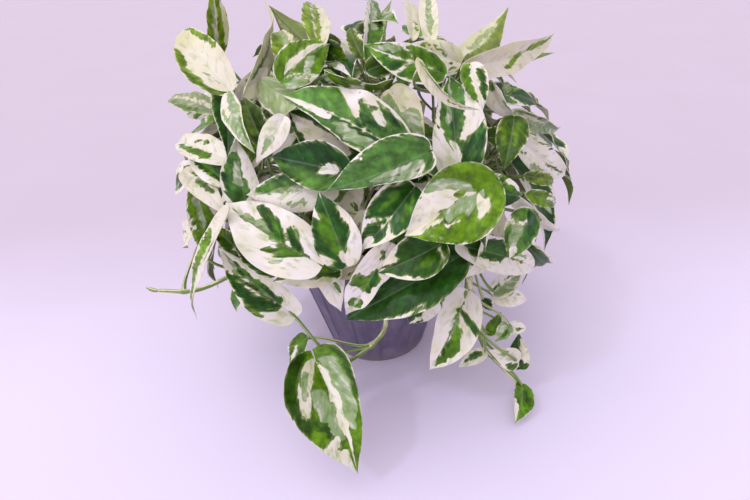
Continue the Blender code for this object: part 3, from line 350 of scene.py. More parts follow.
        (BRIGHT, 32, 20, 40, 72, 32, 20), (DEEP, -50, 30, -40, 50, 16, 10), tone=0.2, turn=20),
    seen("left_margined", "shoulder_left", (226, 182), (188, 156), 14, DEEP, (CREAM, 80, 10, 75, 90, 28, 25),
        (BRIGHT, 0, 30, 0, 60, 30, 20), margin=(0.1, 0.16), lift=(-8, -8)),
    seen("left_streaked", "left_runner", (186, 174), (228, 217), 14, CREAM, (DEEP, 15, 28, 30, 62, 28, 22),
        (BRIGHT, 50, 14, 75, 34, 20, 14), (BRIGHT, -100, 50, -90, 62, 16, 10), tone=0.2, age=0.25,
        lift=(-2, 0)),
    seen("left_yellow", "left_runner", (197, 187), (207, 263), 16, BRIGHT, (SAGE, -30, 15, 10, 50, 30, 20),
        (DEEP, 40, 45, 30, 80, 26, 20), (DEEP, -50, 40, -40, 70, 16, 14), (CREAM, -85, 35, -50, 50, 12, 8),
        (CREAM, 55, 5, 85, 32, 20, 14), (CREAM, 50, 86, 96, 60, 10, 8), tone=0.35, margin=(0.05, 0.1),
        age=0.12),
    seen("left_edge_on", "left_runner", (226, 217), (191, 320), 14, CREAM,
        (BRIGHT, -50, 20, -40, 80, 40, 30), (DEEP, 50, 20, 50, 40, 20, 10), tone=0.3, lift=(2, 2), turn=62,
        arch=0.05),
    seen("left_shadow", "left_runner", (276, 270), (230, 228), 18, DEEP, tone=0.1, lift=(-16, -15)),
    seen("left_olive", "left_runner", (242, 254), (213, 227), 12, DEEP, (BRIGHT, 0, 80, 20, 90, 80, 60),
        (CREAM, 10, 18, 30, 22, 20, 14), tone=0.45, lift=(-10, -9)),
    seen("crown_cut", "crown_left", (216, 52), (209, -24), 18, BRIGHT, (SAGE, 22, 10, 28, 65, 20, 16),
        (CREAM, 0, 10, 5, 80, 12, 9), (CREAM, -80, 20, -70, 70, 25, 20), tone=0.55, lift=(-4, -10), turn=45),
    seen("crown_cream", "crown_left", (227, 88), (181, 27), 25, CREAM, (BRIGHT, 92, 4, 86, 60, 24, 18),
        (DEEP, 95, 10, 95, 40, 12, 8), (BRIGHT, -90, 40, -75, 90, 14, 20), (SAGE, 30, 10, 30, 30, 6, 5),
        tone=0.3, lift=(0, 4)),
    seen("crown_twisted", "crown_left", (246, 88), (269, 0), 17, CREAM, (BRIGHT, 25, 10, 20, 80, 22, 10),
        tone=0.3, lift=(0, -4), turn=62, twist=30),
    seen("crown_small_cream", "crown_left", (240, 99), (269, 66), 13, CREAM, (SAGE, -40, 62, 5, 30, 7, 6),
        (DEEP, 62, 50, 60, 34, 20, 12), (BRIGHT, -75, 12, -60, 36, 34, 16), tone=-0.1, lift=(-4, -4),
        turn=10),
    seen("far_left_striped", "crown_left", (216, 112), (166, 100), 14, SAGE,
        (CREAM, -20, 10, -10, 90, 20, 14), (BRIGHT, 70, 20, 60, 80, 16, 10), tone=0.3, age=0.3,
        lift=(-8, -6), turn=35),
    seen("olive_back", "crown_front_left", (314, 47), (271, 8), 19, DEEP, (SAGE, -52, 40, -50, 85, 28, 24),
        (BRIGHT, 85, 20, 80, 60, 26, 20), tone=0.85, age=0.1, lift=(-6, 0), turn=190),
    seen("crown_yellow", "crown_front_left", (317, 45), (312, 3), 16, BRIGHT, (CREAM, 12, 10, 28, 90, 10, 7),
        (CREAM, -70, 10, -60, 90, 30, 30), tone=0.55, lift=(-12, -12), turn=20),
    seen("crown_spotted", "crown_front_left", (287, 63), (277, 30), 13, BRIGHT,
        (SAGE, -40, 20, -35, 80, 40, 30), (CREAM, -90, 20, -80, 80, 20, 20), tone=0.5, age=0.2,
        lift=(-8, -7)),
    seen("crown_striped", "crown_front_left", (283, 80), (330, 43), 23, BRIGHT,
        (DEEP, -20, 60, -20, 85, 20, 16), (SAGE, -50, 42, -20, 55, 20, 20), (SAGE, -75, 10, -70, 28, 25, 22),
        (CREAM, 14, 10, 42, 90, 13, 20), (CREAM, -100, 46, -10, 10, 9, 8), tone=-0.1, lift=(2, 2), turn=-15),
    seen("crown_small_dark", "crown_front_left", (322, 48), (351, 68), 14, DEEP,
        (BRIGHT, 30, 50, 70, 80, 30, 30), (CREAM, -95, 78, 10, 44, 14, 6), tone=-0.1, lift=(-8, -6)),
    seen("crown_arched", "crown_front_left", (329, 71), (393, 81), 15, BRIGHT,
        (DEEP, 20, 25, 80, 30, 34, 24), (CREAM, -95, 30, -30, 50, 34, 30), (CREAM, 0, 55, 95, 60, 14, 6),
        tone=-0.1, lift=(0, 0), turn=66, arch=0.15),
    seen("crown_tiny", "crown_left", (276, 73), (262, 50), 8, BRIGHT, (CREAM, -70, 20, -50, 90, 30, 30),
        tone=0.1, lift=(-10, -8), turn=30),
    seen("under_arch_dark", "heart", (352, 87), (314, 71), 14, DEEP, (SAGE, 85, 25, 90, 60, 20, 20),
        (CREAM, 20, 5, 28, 66, 22, 16), (CREAM, 28, 66, 90, 90, 14, 14), (CREAM, -60, 8, -58, 28, 14, 4),
        tone=-0.45, lift=(-12, -12)),
    seen("top_margined", "crown_front_right", (441, 72), (363, 44), 18, BRIGHT,
        (SAGE, -60, 60, -40, 85, 30, 25), (DEEP, 60, 50, 60, 66, 40, 30), (CREAM, -10, 12, 4, 88, 5, 9),
        (CREAM, -100, 66, -20, 24, 9, 6), (CREAM, 10, 40, 85, 50, 4, 9), (BRIGHT, 50, 12, 60, 30, 30, 24),
        tone=-0.35, margin=(0.05, 0.06), lift=(2, 4)),
    seen("top_strap", "crown_front_right", (366, 56), (368, -4), 13, BRIGHT, (SAGE, -20, 30, 0, 70, 40, 30),
        (CREAM, 70, 10, 60, 90, 28, 25), tone=-0.6, lift=(-8, -10), turn=40),
    seen("top_grey", "crown_front_right", (372, 62), (390, 4), 16, BRIGHT, (SAGE, 0, 76, 20, 92, 80, 50),
        (CREAM, 10, 60, 95, 64, 4, 5), (CREAM, -80, 50, -30, 38, 7, 6), (CREAM, -30, 38, 95, 42, 5, 4),
        (SAGE, -60, 10, -60, 30, 30, 26), tone=-0.6, lift=(-2, -6), turn=185),
    seen("top_folded", "crown_front_right", (412, 37), (405, 0), 10, CREAM,
        (BRIGHT, -70, 14, -35, 20, 20, 14), tone=0.2, lift=(-6, -8), turn=40),
    seen("top_hanging", "crown_front_right", (411, 60), (401, 95), 12, BRIGHT,
        (CREAM, -25, 0, -10, 40, 40, 20), (CREAM, 55, 10, 85, 90, 14, 10), tone=-0.45, lift=(0, 2), turn=20),
    seen("top_yellow_green", "crown_front_right", (368, 70), (401, 57), 13, DEEP,
        (BRIGHT, 85, 10, 85, 50, 30, 24), tone=0.05, lift=(-9, -9)),
    seen("top_deep", "crown_front_right", (362, 57), (349, 26), 9, DEEP, (CREAM, -95, 30, -80, 60, 16, 10),
        tone=0.6, lift=(-10, -10)),
    seen("long_cream", "crown_right", (468, 66), (558, 34), 17, CREAM, (BRIGHT, -50, 34, 20, 55, 16, 20),
        (BRIGHT, 20, 55, 10, 95, 24, 40), (CREAM, 10, 50, 85, 70, 5, 6), tone=0.35, age=0.1, lift=(0, 4),
        turn=25, arch=0.05),
    seen("long_underside", "crown_right", (476, 73), (551, 52), 12, BRIGHT, (CREAM, -50, 6, -40, 70, 32, 20),
        (SAGE, 30, 20, 40, 60, 20, 14), tone=0.6, lift=(-5, 0), turn=200),
    seen("right_back", "crown_right", (467, 55), (507, 10), 20, CREAM, (SAGE, -30, 20, -30, 70, 20, 20),
        (BRIGHT, 52, 2, 50, 98, 50, 50), (DEEP, 70, 10, 60, 60, 20, 16), (BRIGHT, 0, 86, 0, 100, 50, 40),
        tone=0.5, age=0.05, lift=(-7, -6), turn=168),
    seen("right_dark_white", "crown_right", (471, 66), (483, 110), 15, CREAM,
        (BRIGHT, -80, 10, -62, 75, 50, 36), (DEEP, 50, 16, 60, 75, 24, 34), tone=-0.05, turn=-20),
    seen("olive_arched", "crown_right", (421, 62), (478, 112), 10, CREAM, (BRIGHT, 62, 10, 55, 90, 42, 40),
        (DEEP, 85, 30, 80, 70, 16, 14), (BRIGHT, -50, 62, -20, 80, 14, 20), tone=0.55, age=0.1, lift=(9, 8),
        turn=60, arch=0.14),
    seen("crown_cream_right", "crown_right", (458, 62), (412, 44), 15, CREAM,
        (BRIGHT, -70, 76, 50, 80, 20, 26), (BRIGHT, -60, 65, -20, 30, 10, 10),
        (BRIGHT, -20, 30, 70, 5, 10, 7), (SAGE, 15, 55, 45, 70, 18, 14), (DEEP, 95, 20, 95, 50, 12, 10),
        tone=0.4, lift=(-2, 0)),
    seen("crown_upright_right", "crown_right", (431, 42), (428, -8), 11, CREAM,
        (SAGE, -10, 10, -5, 85, 30, 36), tone=0.1, lift=(-8, -10)),
    seen("right_curled", "crown_right", (491, 83), (518, 120), 12, CREAM, (DEEP, -50, 6, 50, 14, 34, 30),
        (SAGE, 75, 40, 90, 70, 20, 20), tone=-0.2, age=0.1, turn=40, arch=0.2),
    seen("right_white_green", "right", (522, 140), (567, 177), 17, CREAM, (DEEP, -5, 42, 16, 66, 4, 16),
        (DEEP, 16, 66, 20, 78, 18, 14), (DEEP, 78, 14, 96, 40, 12, 16), (SAGE, -75, 30, -60, 60, 18, 14),
        (BRIGHT, -90, 6, -50, 14, 20, 10), tone=0.1),
    seen("right_edge_on", "right", (515, 195), (561, 232), 13, CREAM, (DEEP, -90, 50, 35, 34, 50, 34),
        tone=-0.1, turn=52),
    seen("right_dark", "right", (514, 119), (504, 169), 17, DEEP, (BRIGHT, 30, 16, 30, 50, 24, 16),
        (BRIGHT, -60, 20, -50, 60, 16, 12), tone=0.5, lift=(2, 2)),
    seen("right_olive_back", "right", (533, 135), (497, 120), 14, BRIGHT, (DEEP, -60, 20, -50, 70, 36, 30),
        tone=0.9, age=0.45, lift=(-5, -3), turn=180),
    seen("right_grey_strip", "right", (526, 127), (531, 169), 10, CREAM, (SAGE, -60, 10, -55, 80, 46, 34),
        tone=-0.2, lift=(-3, -2), turn=45),
    seen("right_grey_curl", "right", (519, 112), (562, 129), 11, SAGE, (CREAM, 20, 10, 40, 40, 30, 20),
        (DEEP, 80, 15, 85, 35, 20, 16), tone=-0.5, turn=30),
    seen("right_small_yellow", "right", (526, 176), (555, 183), 8, BRIGHT, (DEEP, 0, 12, 10, 24, 70, 50),
        tone=0.7, age=0.3),
    seen("right_small_green", "right", (528, 194), (556, 206), 9, BRIGHT, (CREAM, 50, 50, 50, 90, 30, 20),
        tone=0.4),
    seen("behind_heart", "front_right", (478, 186), (524, 196), 18, DEEP, (BRIGHT, 55, 35, 50, 75, 32, 25),
        (CREAM, 45, 0, 45, 28, 26, 25), (CREAM, 92, 50, 80, 95, 15, 20), lift=(-10, -8)),
    seen("shade_right_cream", "front_right", (462, 246), (538, 270), 20, CREAM,
        (DEEP, 20, 14, 20, 36, 75, 60), (BRIGHT, 0, 50, 0, 70, 8, 6), (SAGE, 50, 50, 40, 70, 16, 10),
        tone=0.1, lift=(-12, -5)),
    seen("right_heart", "front_right", (527, 215), (509, 260), 18, BRIGHT, (SAGE, -30, 30, -20, 65, 40, 30),
        (CREAM, -95, 32, 20, 15, 13, 10), (DEEP, 62, 10, 60, 46, 38, 30), (CREAM, 0, 85, 0, 100, 50, 40),
        tone=-0.35, lift=(0, 4), lobe=0.16),
    seen("right_round", "front_right", (526, 243), (549, 263), 14, DEEP, tone=0.1, margin=(0.12, 0.2),
        lift=(-4, -2), turn=25),
    seen("under_heart", "front_right", (484, 252), (438, 246), 17, DEEP, tone=0.2, lift=(-10, -14)),
    seen("trail_upper", "right_trailer", (494, 293), (522, 270), 14, CREAM, (SAGE, -30, 10, -30, 90, 50, 40),
        (DEEP, 50, 10, 50, 85, 12, 10), tone=-0.1, depth=(-72, -66)),
    seen("trail_white", "right_trailer", (494, 296), (528, 300), 14, CREAM, (BRIGHT, 30, 30, 30, 70, 16, 10),
        depth=(-74, -70)),
    seen("trail_small_dark", "right_trailer", (483, 299), (492, 311), 7, DEEP, depth=(-76, -78)),
    seen("trail_green", "right_trailer", (489, 334), (501, 312), 9, BRIGHT, tone=0.1, depth=(-77, -72)),
    seen("trail_grey", "right_trailer", (509, 325), (495, 342), 10, SAGE, (BRIGHT, 30, 30, 30, 70, 30, 20),
        tone=-0.1, depth=(-80, -86)),
    seen("trail_cream", "right_trailer", (508, 327), (527, 328), 9, CREAM,
        (BRIGHT, -30, 40, -20, 70, 30, 20), depth=(-76, -74)),
    seen("trail_feather", "right_trailer", (517, 361), (489, 350), 15, CREAM,
        (SAGE, -70, 50, 10, 70, 12, 20), (BRIGHT, 60, 10, 60, 40, 32, 20), depth=(-82, -86)),
    seen("trail_round", "right_trailer", (520, 367), (519, 333), 15, DEEP, (CREAM, -50, 30, -60, 80, 40, 30),
        tone=0.1, depth=(-80, -72)),
    seen("trail_left", "right_trailer", (485, 352), (458, 367), 10, CREAM, (DEEP, -15, 22, -15, 68, 48, 40),
        depth=(-82, -88)),
    seen("trail_end", "right_trailer", (522, 386), (515, 423), 17, BRIGHT, (CREAM, -80, 55, -20, 95, 30, 30),
        (DEEP, 30, 20, 30, 50, 20, 16), tone=0.1, depth=(-83, -110), turn=-20, trim=(0.3, 0)),
)


def shown(name: str, data: bpy.types.ID) -> bpy.types.Object:
    """A new object of the scene with this data."""
    item = bpy.data.objects.new(name, data)
    bpy.context.scene.collection.objects.link(item)
    return item


def unit(vector: np.ndarray) -> np.ndarray:
    """The vector at length one."""
    return vector / np.linalg.norm(vector)


def smooth(low: float, high: float, value: np.ndarray) -> np.ndarray:
    """A smooth step: 0 below low, 1 above high, and 3u squared less 2u cubed between."""
    share = np.clip((value - low) / (high - low), 0.0, 1.0)
    return share * share * (3.0 - 2.0 * share)


def wander(value: np.ndarray, seed: float) -> np.ndarray:
    """Smooth random wandering from -1 to 1: hashed values at the whole numbers, eased between."""
    cell = np.floor(value)
    share = value - cell
    share = share * share * (3.0 - 2.0 * share)
    before, after = (np.sin(12.9898 * (cell + step) + 78.233 * seed) * 43758.5453 for step in (0.0, 1.0))
    return 2.0 * ((1.0 - share) * (before % 1.0) + share * (after % 1.0)) - 1.0


def turned(vector: np.ndarray, axis: np.ndarray, angle: float) -> np.ndarray:
    """The vector turned about the axis, in radians."""
    return (
        vector * math.cos(angle)
        + np.cross(axis, vector) * math.sin(angle)
        + axis * (axis @ vector) * (1.0 - math.cos(angle))
    )


class Viewpoint:
    """Where the picture was taken from, and the sight lines through its points."""

    def __init__(self) -> None:
        """Works out the directions that run to the right, up and away from the eye."""
        self.away = np.array((0.0, math.cos(PITCH), -math.sin(PITCH)))
        level_up = np.array((0.0, math.sin(PITCH), math.cos(PITCH)))
        level_right = np.array((1.0, 0.0, 0.0))
        self.right = math.cos(ROLL) * level_right + math.sin(ROLL) * level_up
        self.up = math.cos(ROLL) * level_up - math.sin(ROLL) * level_right

    def sight_line(self, point: tuple) -> np.ndarray:
        """The direction from the eye through a picture point, with a unit step along the view axis."""
        across = (point[0] - FRAME_CENTRE[0]) / FOCAL_PIXELS
        down = (point[1] - FRAME_CENTRE[1]) / FOCAL_PIXELS
        return self.away + across * self.right - down * self.up

    def picture_point(self, position: np.ndarray) -> tuple:
        """Where a point in space shows in the picture."""
        offset = position - EYE
        scale = FOCAL_PIXELS / (offset @ self.away)
        return FRAME_CENTRE[0] + scale * (offset @ self.right), FRAME_CENTRE[1] - scale * (offset @ self.up)

    def on_dome(self, point: tuple, lift: float) -> np.ndarray:
        """Where the sight line meets the dome, or passes nearest to it, moved towards the eye by lift."""
        line = self.sight_line(point)
        scaled_line = line / DOME_AXES
        scaled_eye = (EYE - DOME_CENTRE) / DOME_AXES
        a = scaled_line @ scaled_line
        b = scaled_eye @ scaled_line
        c = scaled_eye @ scaled_eye - 1.0
        inside = max(b * b - a * c, 0.0)
        distance = (-b - math.sqrt(inside)) / a
        return EYE + distance * line - lift * MM * unit(line)

    def at_depth(self, point: tuple, depth: float) -> np.ndarray:
        """Where the sight line crosses the upright plane at this Y, in millimetres."""
        line = self.sight_line(point)
        return EYE + (depth * MM - EYE[1]) / line[1] * line

    def shows_in_front(self, position: np.ndarray) -> bool:
        """Whether a point on the dome faces the eye inside the picture, where the placed leaves are."""
        across, down = self.picture_point(position)
        inside = FRAME_SIDES[0] < across < FRAME_SIDES[1] and down > FRAME_TOP
        outward = (position - DOME_CENTRE) / DOME_AXES**2
        return inside and outward @ (EYE - position) > 0.0

    def camera(self) -> None:
        """The camera at the eye, turned along the view axes, with the picture's focal length."""
        data = bpy.data.cameras.new("camera")
        data.sensor_width = SENSOR_WIDTH
        data.lens = FOCAL_PIXELS / FRAME_WIDTH * SENSOR_WIDTH
        data.clip_start = 10.0 * MM
        item = shown("camera", data)
        turn = Matrix.Identity(4)
        for row in range(3):
            turn[row][0], turn[row][1], turn[row][2] = self.right[row], self.up[row], -self.away[row]
            turn[row][3] = EYE[row]
        item.matrix_world = turn
        bpy.context.scene.camera = item


VIEW = Viewpoint()


def outline(along: np.ndarray) -> np.ndarray:
    """Half the blade's width as a share of its most: along to a power, times what is left to another."""
    peak = OUTLINE_RISE / (OUTLINE_RISE + OUTLINE_FALL)
    top = peak**OUTLINE_RISE * (1.0 - peak) ** OUTLINE_FALL
    return along**OUTLINE_RISE * (1.0 - along) ** OUTLINE_FALL / top


@dataclass
class Blade:
    """A leaf blade in space: where it starts and ends, which way it faces, and its form."""

    name: str
    vine: str
    base: np.ndarray
    tip: np.ndarray
    face: np.ndarray
    width: float
    arch: float
    fold: float
    twist: float
    lobe: float
    base_slide: np.ndarray
    tip_slide: np.ndarray
    front: bool
    trim: tuple = (0.0, 0.0)

    @classmethod
    def of_leaf(cls, leaf: Leaf) -> "Blade":
        """The blade of a leaf given by picture points."""
        if leaf.depth:
            base = VIEW.at_depth(leaf.base, leaf.depth[0])
            tip = VIEW.at_depth(leaf.tip, leaf.depth[1])
        else:
            base = VIEW.on_dome(leaf.base, leaf.lift[0])
            tip = VIEW.on_dome(leaf.tip, leaf.lift[1])
        axis = unit(tip - base)
        to_eye = unit(EYE - 0.5 * (base + tip))
        face = unit(to_eye - axis * (axis @ to_eye))
        face = turned(face, axis, math.radians(leaf.turn))
        return cls(
            leaf.name, leaf.vine, base, tip, face, leaf.width * MM, leaf.arch, math.radians(leaf.fold),
            math.radians(leaf.twist), leaf.lobe, unit(EYE - base), unit(EYE - tip), True, leaf.trim,
        )

    def axes(self) -> tuple:
        """The blade's length and its directions forward, sideways and out of its face."""
        axis = self.tip - self.base
        length = np.linalg.norm(axis)
        forward = axis / length
        face = unit(self.face - forward * (forward @ self.face))
        return length, forward, np.cross(face, forward), face

    def rows(self) -> tuple:
        """Where the solid's rows of corners lie along the blade."""
        if not self.front or self.width < SMALL_WIDTH:
            return FEW_ROWS
        return LARGE_ROWS if self.width > LARGE_WIDTH else SMALL_ROWS

    def half_width(self, along: np.ndarray, across: np.ndarray) -> np.ndarray:
        """Half the width: the outline, with each half slimmed towards the tip by a quarter sine."""
        trim = np.where(across < 0.0, self.trim[0], self.trim[1])
        slimming = 1.0 - trim * np.sin(0.5 * math.pi * np.minimum(along / TRIM_END, 1.0))
        return 0.5 * self.width * outline(along) * slimming

    def placed(self, reach: np.ndarray, out: np.ndarray, rise: np.ndarray, along: np.ndarray) -> np.ndarray:
        """Points at a reach along, a distance out and a rise: rolled by the twist and bowed as a parabola."""
        length, forward, side, face = self.axes()
        bow = 4.0 * self.arch * length * along * (1.0 - along)
        roll = self.twist * (along - 0.3)
        sideways = np.cos(roll) * out - np.sin(roll) * rise
        outward = np.sin(roll) * out + np.cos(roll) * rise + bow
        return self.base + reach[..., None] * forward + sideways[..., None] * side + outward[..., None] * face

    def wave(self, along: np.ndarray, across: np.ndarray) -> np.ndarray:
        """How far the margin waves up and down: across squared times a sine that dies out at both ends."""
        ripple = np.sin(2.0 * math.pi * (1.5 * along + 0.2 * across)) * np.sin(math.pi * along)
        return 0.045 * self.width * across**2 * ripple

    def points(self, along: np.ndarray, across: np.ndarray, grow: float = 0.0) -> np.ndarray:
        """Points of the solid's middle surface.

        Args:
            along: 0 at the base to 1 at the tip.
            across: -1 to 1.
            grow: how much longer and wider than the blade, in metres.

        Returns:
            The points, one for each pair."""
        length = np.linalg.norm(self.tip - self.base)
        out = (self.half_width(along, across) + grow * np.sin(math.pi * along) ** 0.25) * across
        back = self.lobe * length * np.abs(across) ** 1.6 * (1.0 - along) ** 4
        reach = along * (length + 2.0 * grow) - grow - back
        rise = math.tan(self.fold) * np.abs(out) + self.wave(along, across)
        return self.placed(reach, out, rise, along)

    def slid(self, distance: float) -> "Blade":
        """The blade moved along its own line."""
        base = self.base + distance * self.base_slide
        tip = self.tip + distance * self.tip_slide
        return replace(self, base=base, tip=tip)


def golden_directions(count: int) -> np.ndarray:
    """Directions spread evenly over a sphere, from the top down, by the golden angle."""
    index = np.arange(count) + 0.5
    height = 1.0 - 2.0 * index / count
    angle = math.pi * (1.0 + math.sqrt(5.0)) * index
    ring = np.sqrt(1.0 - height * height)
    return np.stack((ring * np.cos(angle), ring * np.sin(angle), height), axis=1)


def smooth_path(points: np.ndarray, steps: int) -> np.ndarray:
    """A Catmull-Rom curve through the points, with this many steps to each stretch."""
    points = np.asarray(points, float)
    padded = np.vstack((2.0 * points[0] - points[1], points, 2.0 * points[-1] - points[-2]))
    path = []
    for index in range(1, len(padded) - 2):
        before, start, end, after = padded[index - 1 : index + 3]
        for step in range(steps):
            t = step / steps
            path.append(
                0.5
                * (
                    2.0 * start
                    + (end - before) * t
                    + (2.0 * before - 5.0 * start + 4.0 * end - after) * t**2
                    + (3.0 * start - before - 3.0 * end + after) * t**3
                )
            )
    path.append(padded[-2])
    return np.array(path)


def stem_path(points: tuple, steps: int) -> np.ndarray:
    """A stem's path: straight up out of the soil to its second point, and a smooth curve from there."""
    path = smooth_path(points, steps)
    share = np.linspace(0.0, 1.0, steps + 1)[:, None]
    path[: steps + 1] = (1.0 - share) * path[0] + share * path[steps]
    return path * MM


def stem_radii(path: np.ndarray) -> np.ndarray:
    """The stem's radius at each point, thinner towards its end."""
    return np.linspace(STEM_RADIUS, STEM_TIP_RADIUS, len(path))


def bezier(points: tuple, count: int) -> np.ndarray:
    """A cubic curve on four points, as this many points."""
    t = np.linspace(0.0, 1.0, count)[:, None]
    return (
        (1.0 - t) ** 3 * points[0]
        + 3.0 * (1.0 - t) ** 2 * t * points[1]
        + 3.0 * (1.0 - t) * t**2 * points[2]
        + t**3 * points[3]
    )


def rings(path: np.ndarray, radii: np.ndarray, sides: int) -> np.ndarray:
    """Rings of points round a path, square to it: centre plus radius times cosine and sine of the angle."""
    tangents = np.gradient(path, axis=0)
    first = np.cross(tangents, (0.31, 0.22, 0.93))
    first /= np.linalg.norm(first, axis=1)[:, None]
    second = np.cross(tangents, first)
    second /= np.linalg.norm(second, axis=1)[:, None]
    angles = np.arange(sides) * 2.0 * math.pi / sides
    radii = np.broadcast_to(np.asarray(radii, float).reshape(len(path), -1), (len(path), sides))
    around = np.cos(angles)[:, None] * first[:, None] + np.sin(angles)[:, None] * second[:, None]
    return path[:, None] + radii[..., None] * around


def grid_faces(rows: int, columns: int, closed: bool = False) -> list:
    """Triangles of a grid of points, row by row, joined round the columns where closed."""
    faces = []
    for row in range(rows - 1):
        for column in range(columns if closed else columns - 1):
            following = (column + 1) % columns
            a, b = row * columns + column, row * columns + following
            c, d = a + columns, b + columns
            faces.append((a, b, d))
            faces.append((a, d, c))
    return faces


class Obstacle:
    """A surface kept for testing whether shapes meet: its box and its search tree."""

    def __init__(self, vine: str, kind: str, points: np.ndarray, faces: list) -> None:
        """Keeps the surface of one thing."""
        self.vine = vine
        self.kind = kind
        self.low = points.min(axis=0)
        self.high = points.max(axis=0)
        self.tree = BVHTree.FromPolygons(points.tolist(), faces)

    @classmethod
    def tube(cls, vine: str, kind: str, path: np.ndarray, radii: np.ndarray) -> "Obstacle":
        """A six-sided tube round a path."""
        sides = 6
        points = rings(path, radii, sides).reshape(-1, 3)
        return cls(vine, kind, points, grid_faces(len(path), sides, closed=True))

    @classmethod
    def sheet(cls, blade: Blade) -> "Obstacle":
        """A blade's middle surface."""
        rows = blade.rows()
        along, across = np.meshgrid(rows, SOLID_COLUMNS, indexing="ij")
        points = blade.points(along, across).reshape(-1, 3)
        return cls(blade.vine, "blade", points, grid_faces(len(rows), 3))

    @classmethod
    def padded(cls, blade: Blade) -> "Obstacle":
        """A blade grown by the clearance on every side, for testing a place before it is taken."""
        pad = CLEARANCE + 0.5 * BLADE_THICKNESS
        along, across = np.meshgrid(blade.rows(), SOLID_COLUMNS, indexing="ij")
        middle = blade.points(along, across, grow=pad).reshape(-1, 3)
        axis = unit(blade.tip - blade.base)
        face = unit(blade.face - axis * (axis @ blade.face))
        rows = len(along)
        points = np.vstack((middle + pad * face, middle - pad * face))
        under = [tuple(corner + len(middle) for corner in face) for face in grid_faces(rows, 3)]
        faces = grid_faces(rows, 3) + under
        rim = [3 * row for row in range(rows)] + [3 * row + 2 for row in reversed(range(rows))]
        for start, end in zip(rim, rim[1:] + rim[:1]):
            faces.append((start, end, end + len(middle)))
            faces.append((start, end + len(middle), start + len(middle)))
        return cls(blade.vine, "blade", points, faces)

    @classmethod
    def pot(cls) -> "Obstacle":
        """The pot's outside and soil top: a smooth cone with a pad."""
        sides = 48
        angles = np.linspace(0.0, 2.0 * math.pi, sides, endpoint=False)
        circles = []
        pad = 1.2 * MM
        for radius, height in (
            (5.0 * MM, SOIL_TOP + 2.0 * MM),
            (RIM_RADIUS - 4.0 * MM, SOIL_TOP + 2.0 * MM),
            (RIM_RADIUS - 2.5 * MM, POT_HEIGHT + pad),
            (RIM_RADIUS + pad, POT_HEIGHT + pad),
            (RIM_RADIUS + pad, POT_HEIGHT - RIM_DEPTH),
            (FOOT_RADIUS + pad, 0.0),
        ):
            circle = (radius * np.cos(angles), radius * np.sin(angles), np.full(sides, height))
            circles.append(np.stack(circle, axis=1))
        return cls("", "pot", np.vstack(circles), grid_faces(len(circles), sides, closed=True))

    def meets(self, other: "Obstacle") -> bool:
        """Whether two surfaces cross."""
        if (self.low > other.high).any() or (other.low > self.high).any():
            return False
        return bool(self.tree.overlap(other.tree))


@dataclass(frozen=True)
class Petiole:
    """A leaf stalk, from a point on its stem to just inside the blade, curved as it reached for light."""

    handles: tuple
    steps: int

    @classmethod
    def reaching(cls, stem: np.ndarray, start: int, blade: Blade, bulge: np.ndarray) -> "Petiole":
        """The stalk from a stem point to a blade, bulged to one side."""
        root = stem[start]
        rising = unit(stem[min(start + 2, len(stem) - 1)] - stem[max(start - 2, 0)])
        inside = blade.points(np.array(0.03), np.array(0.0))
        span = inside - root
        length = np.linalg.norm(span)
        forward = unit(blade.tip - blade.base)
        leaving = unit(0.55 * rising + 0.6 * unit(span) + np.array((0.0, 0.0, 0.25)))
        arriving = unit(0.75 * unit(span) + 0.35 * forward - 0.15 * blade.face)
        first_handle = root + 0.38 * length * leaving + bulge
        second_handle = inside - 0.34 * length * arriving + bulge
        return cls((root, first_handle, second_handle, inside), 4 if blade.front else 3)

    def path(self, count: int = 0) -> np.ndarray:
        """Its curve as this many points, or as many as the solid has."""
        return bezier(self.handles, count or self.steps)


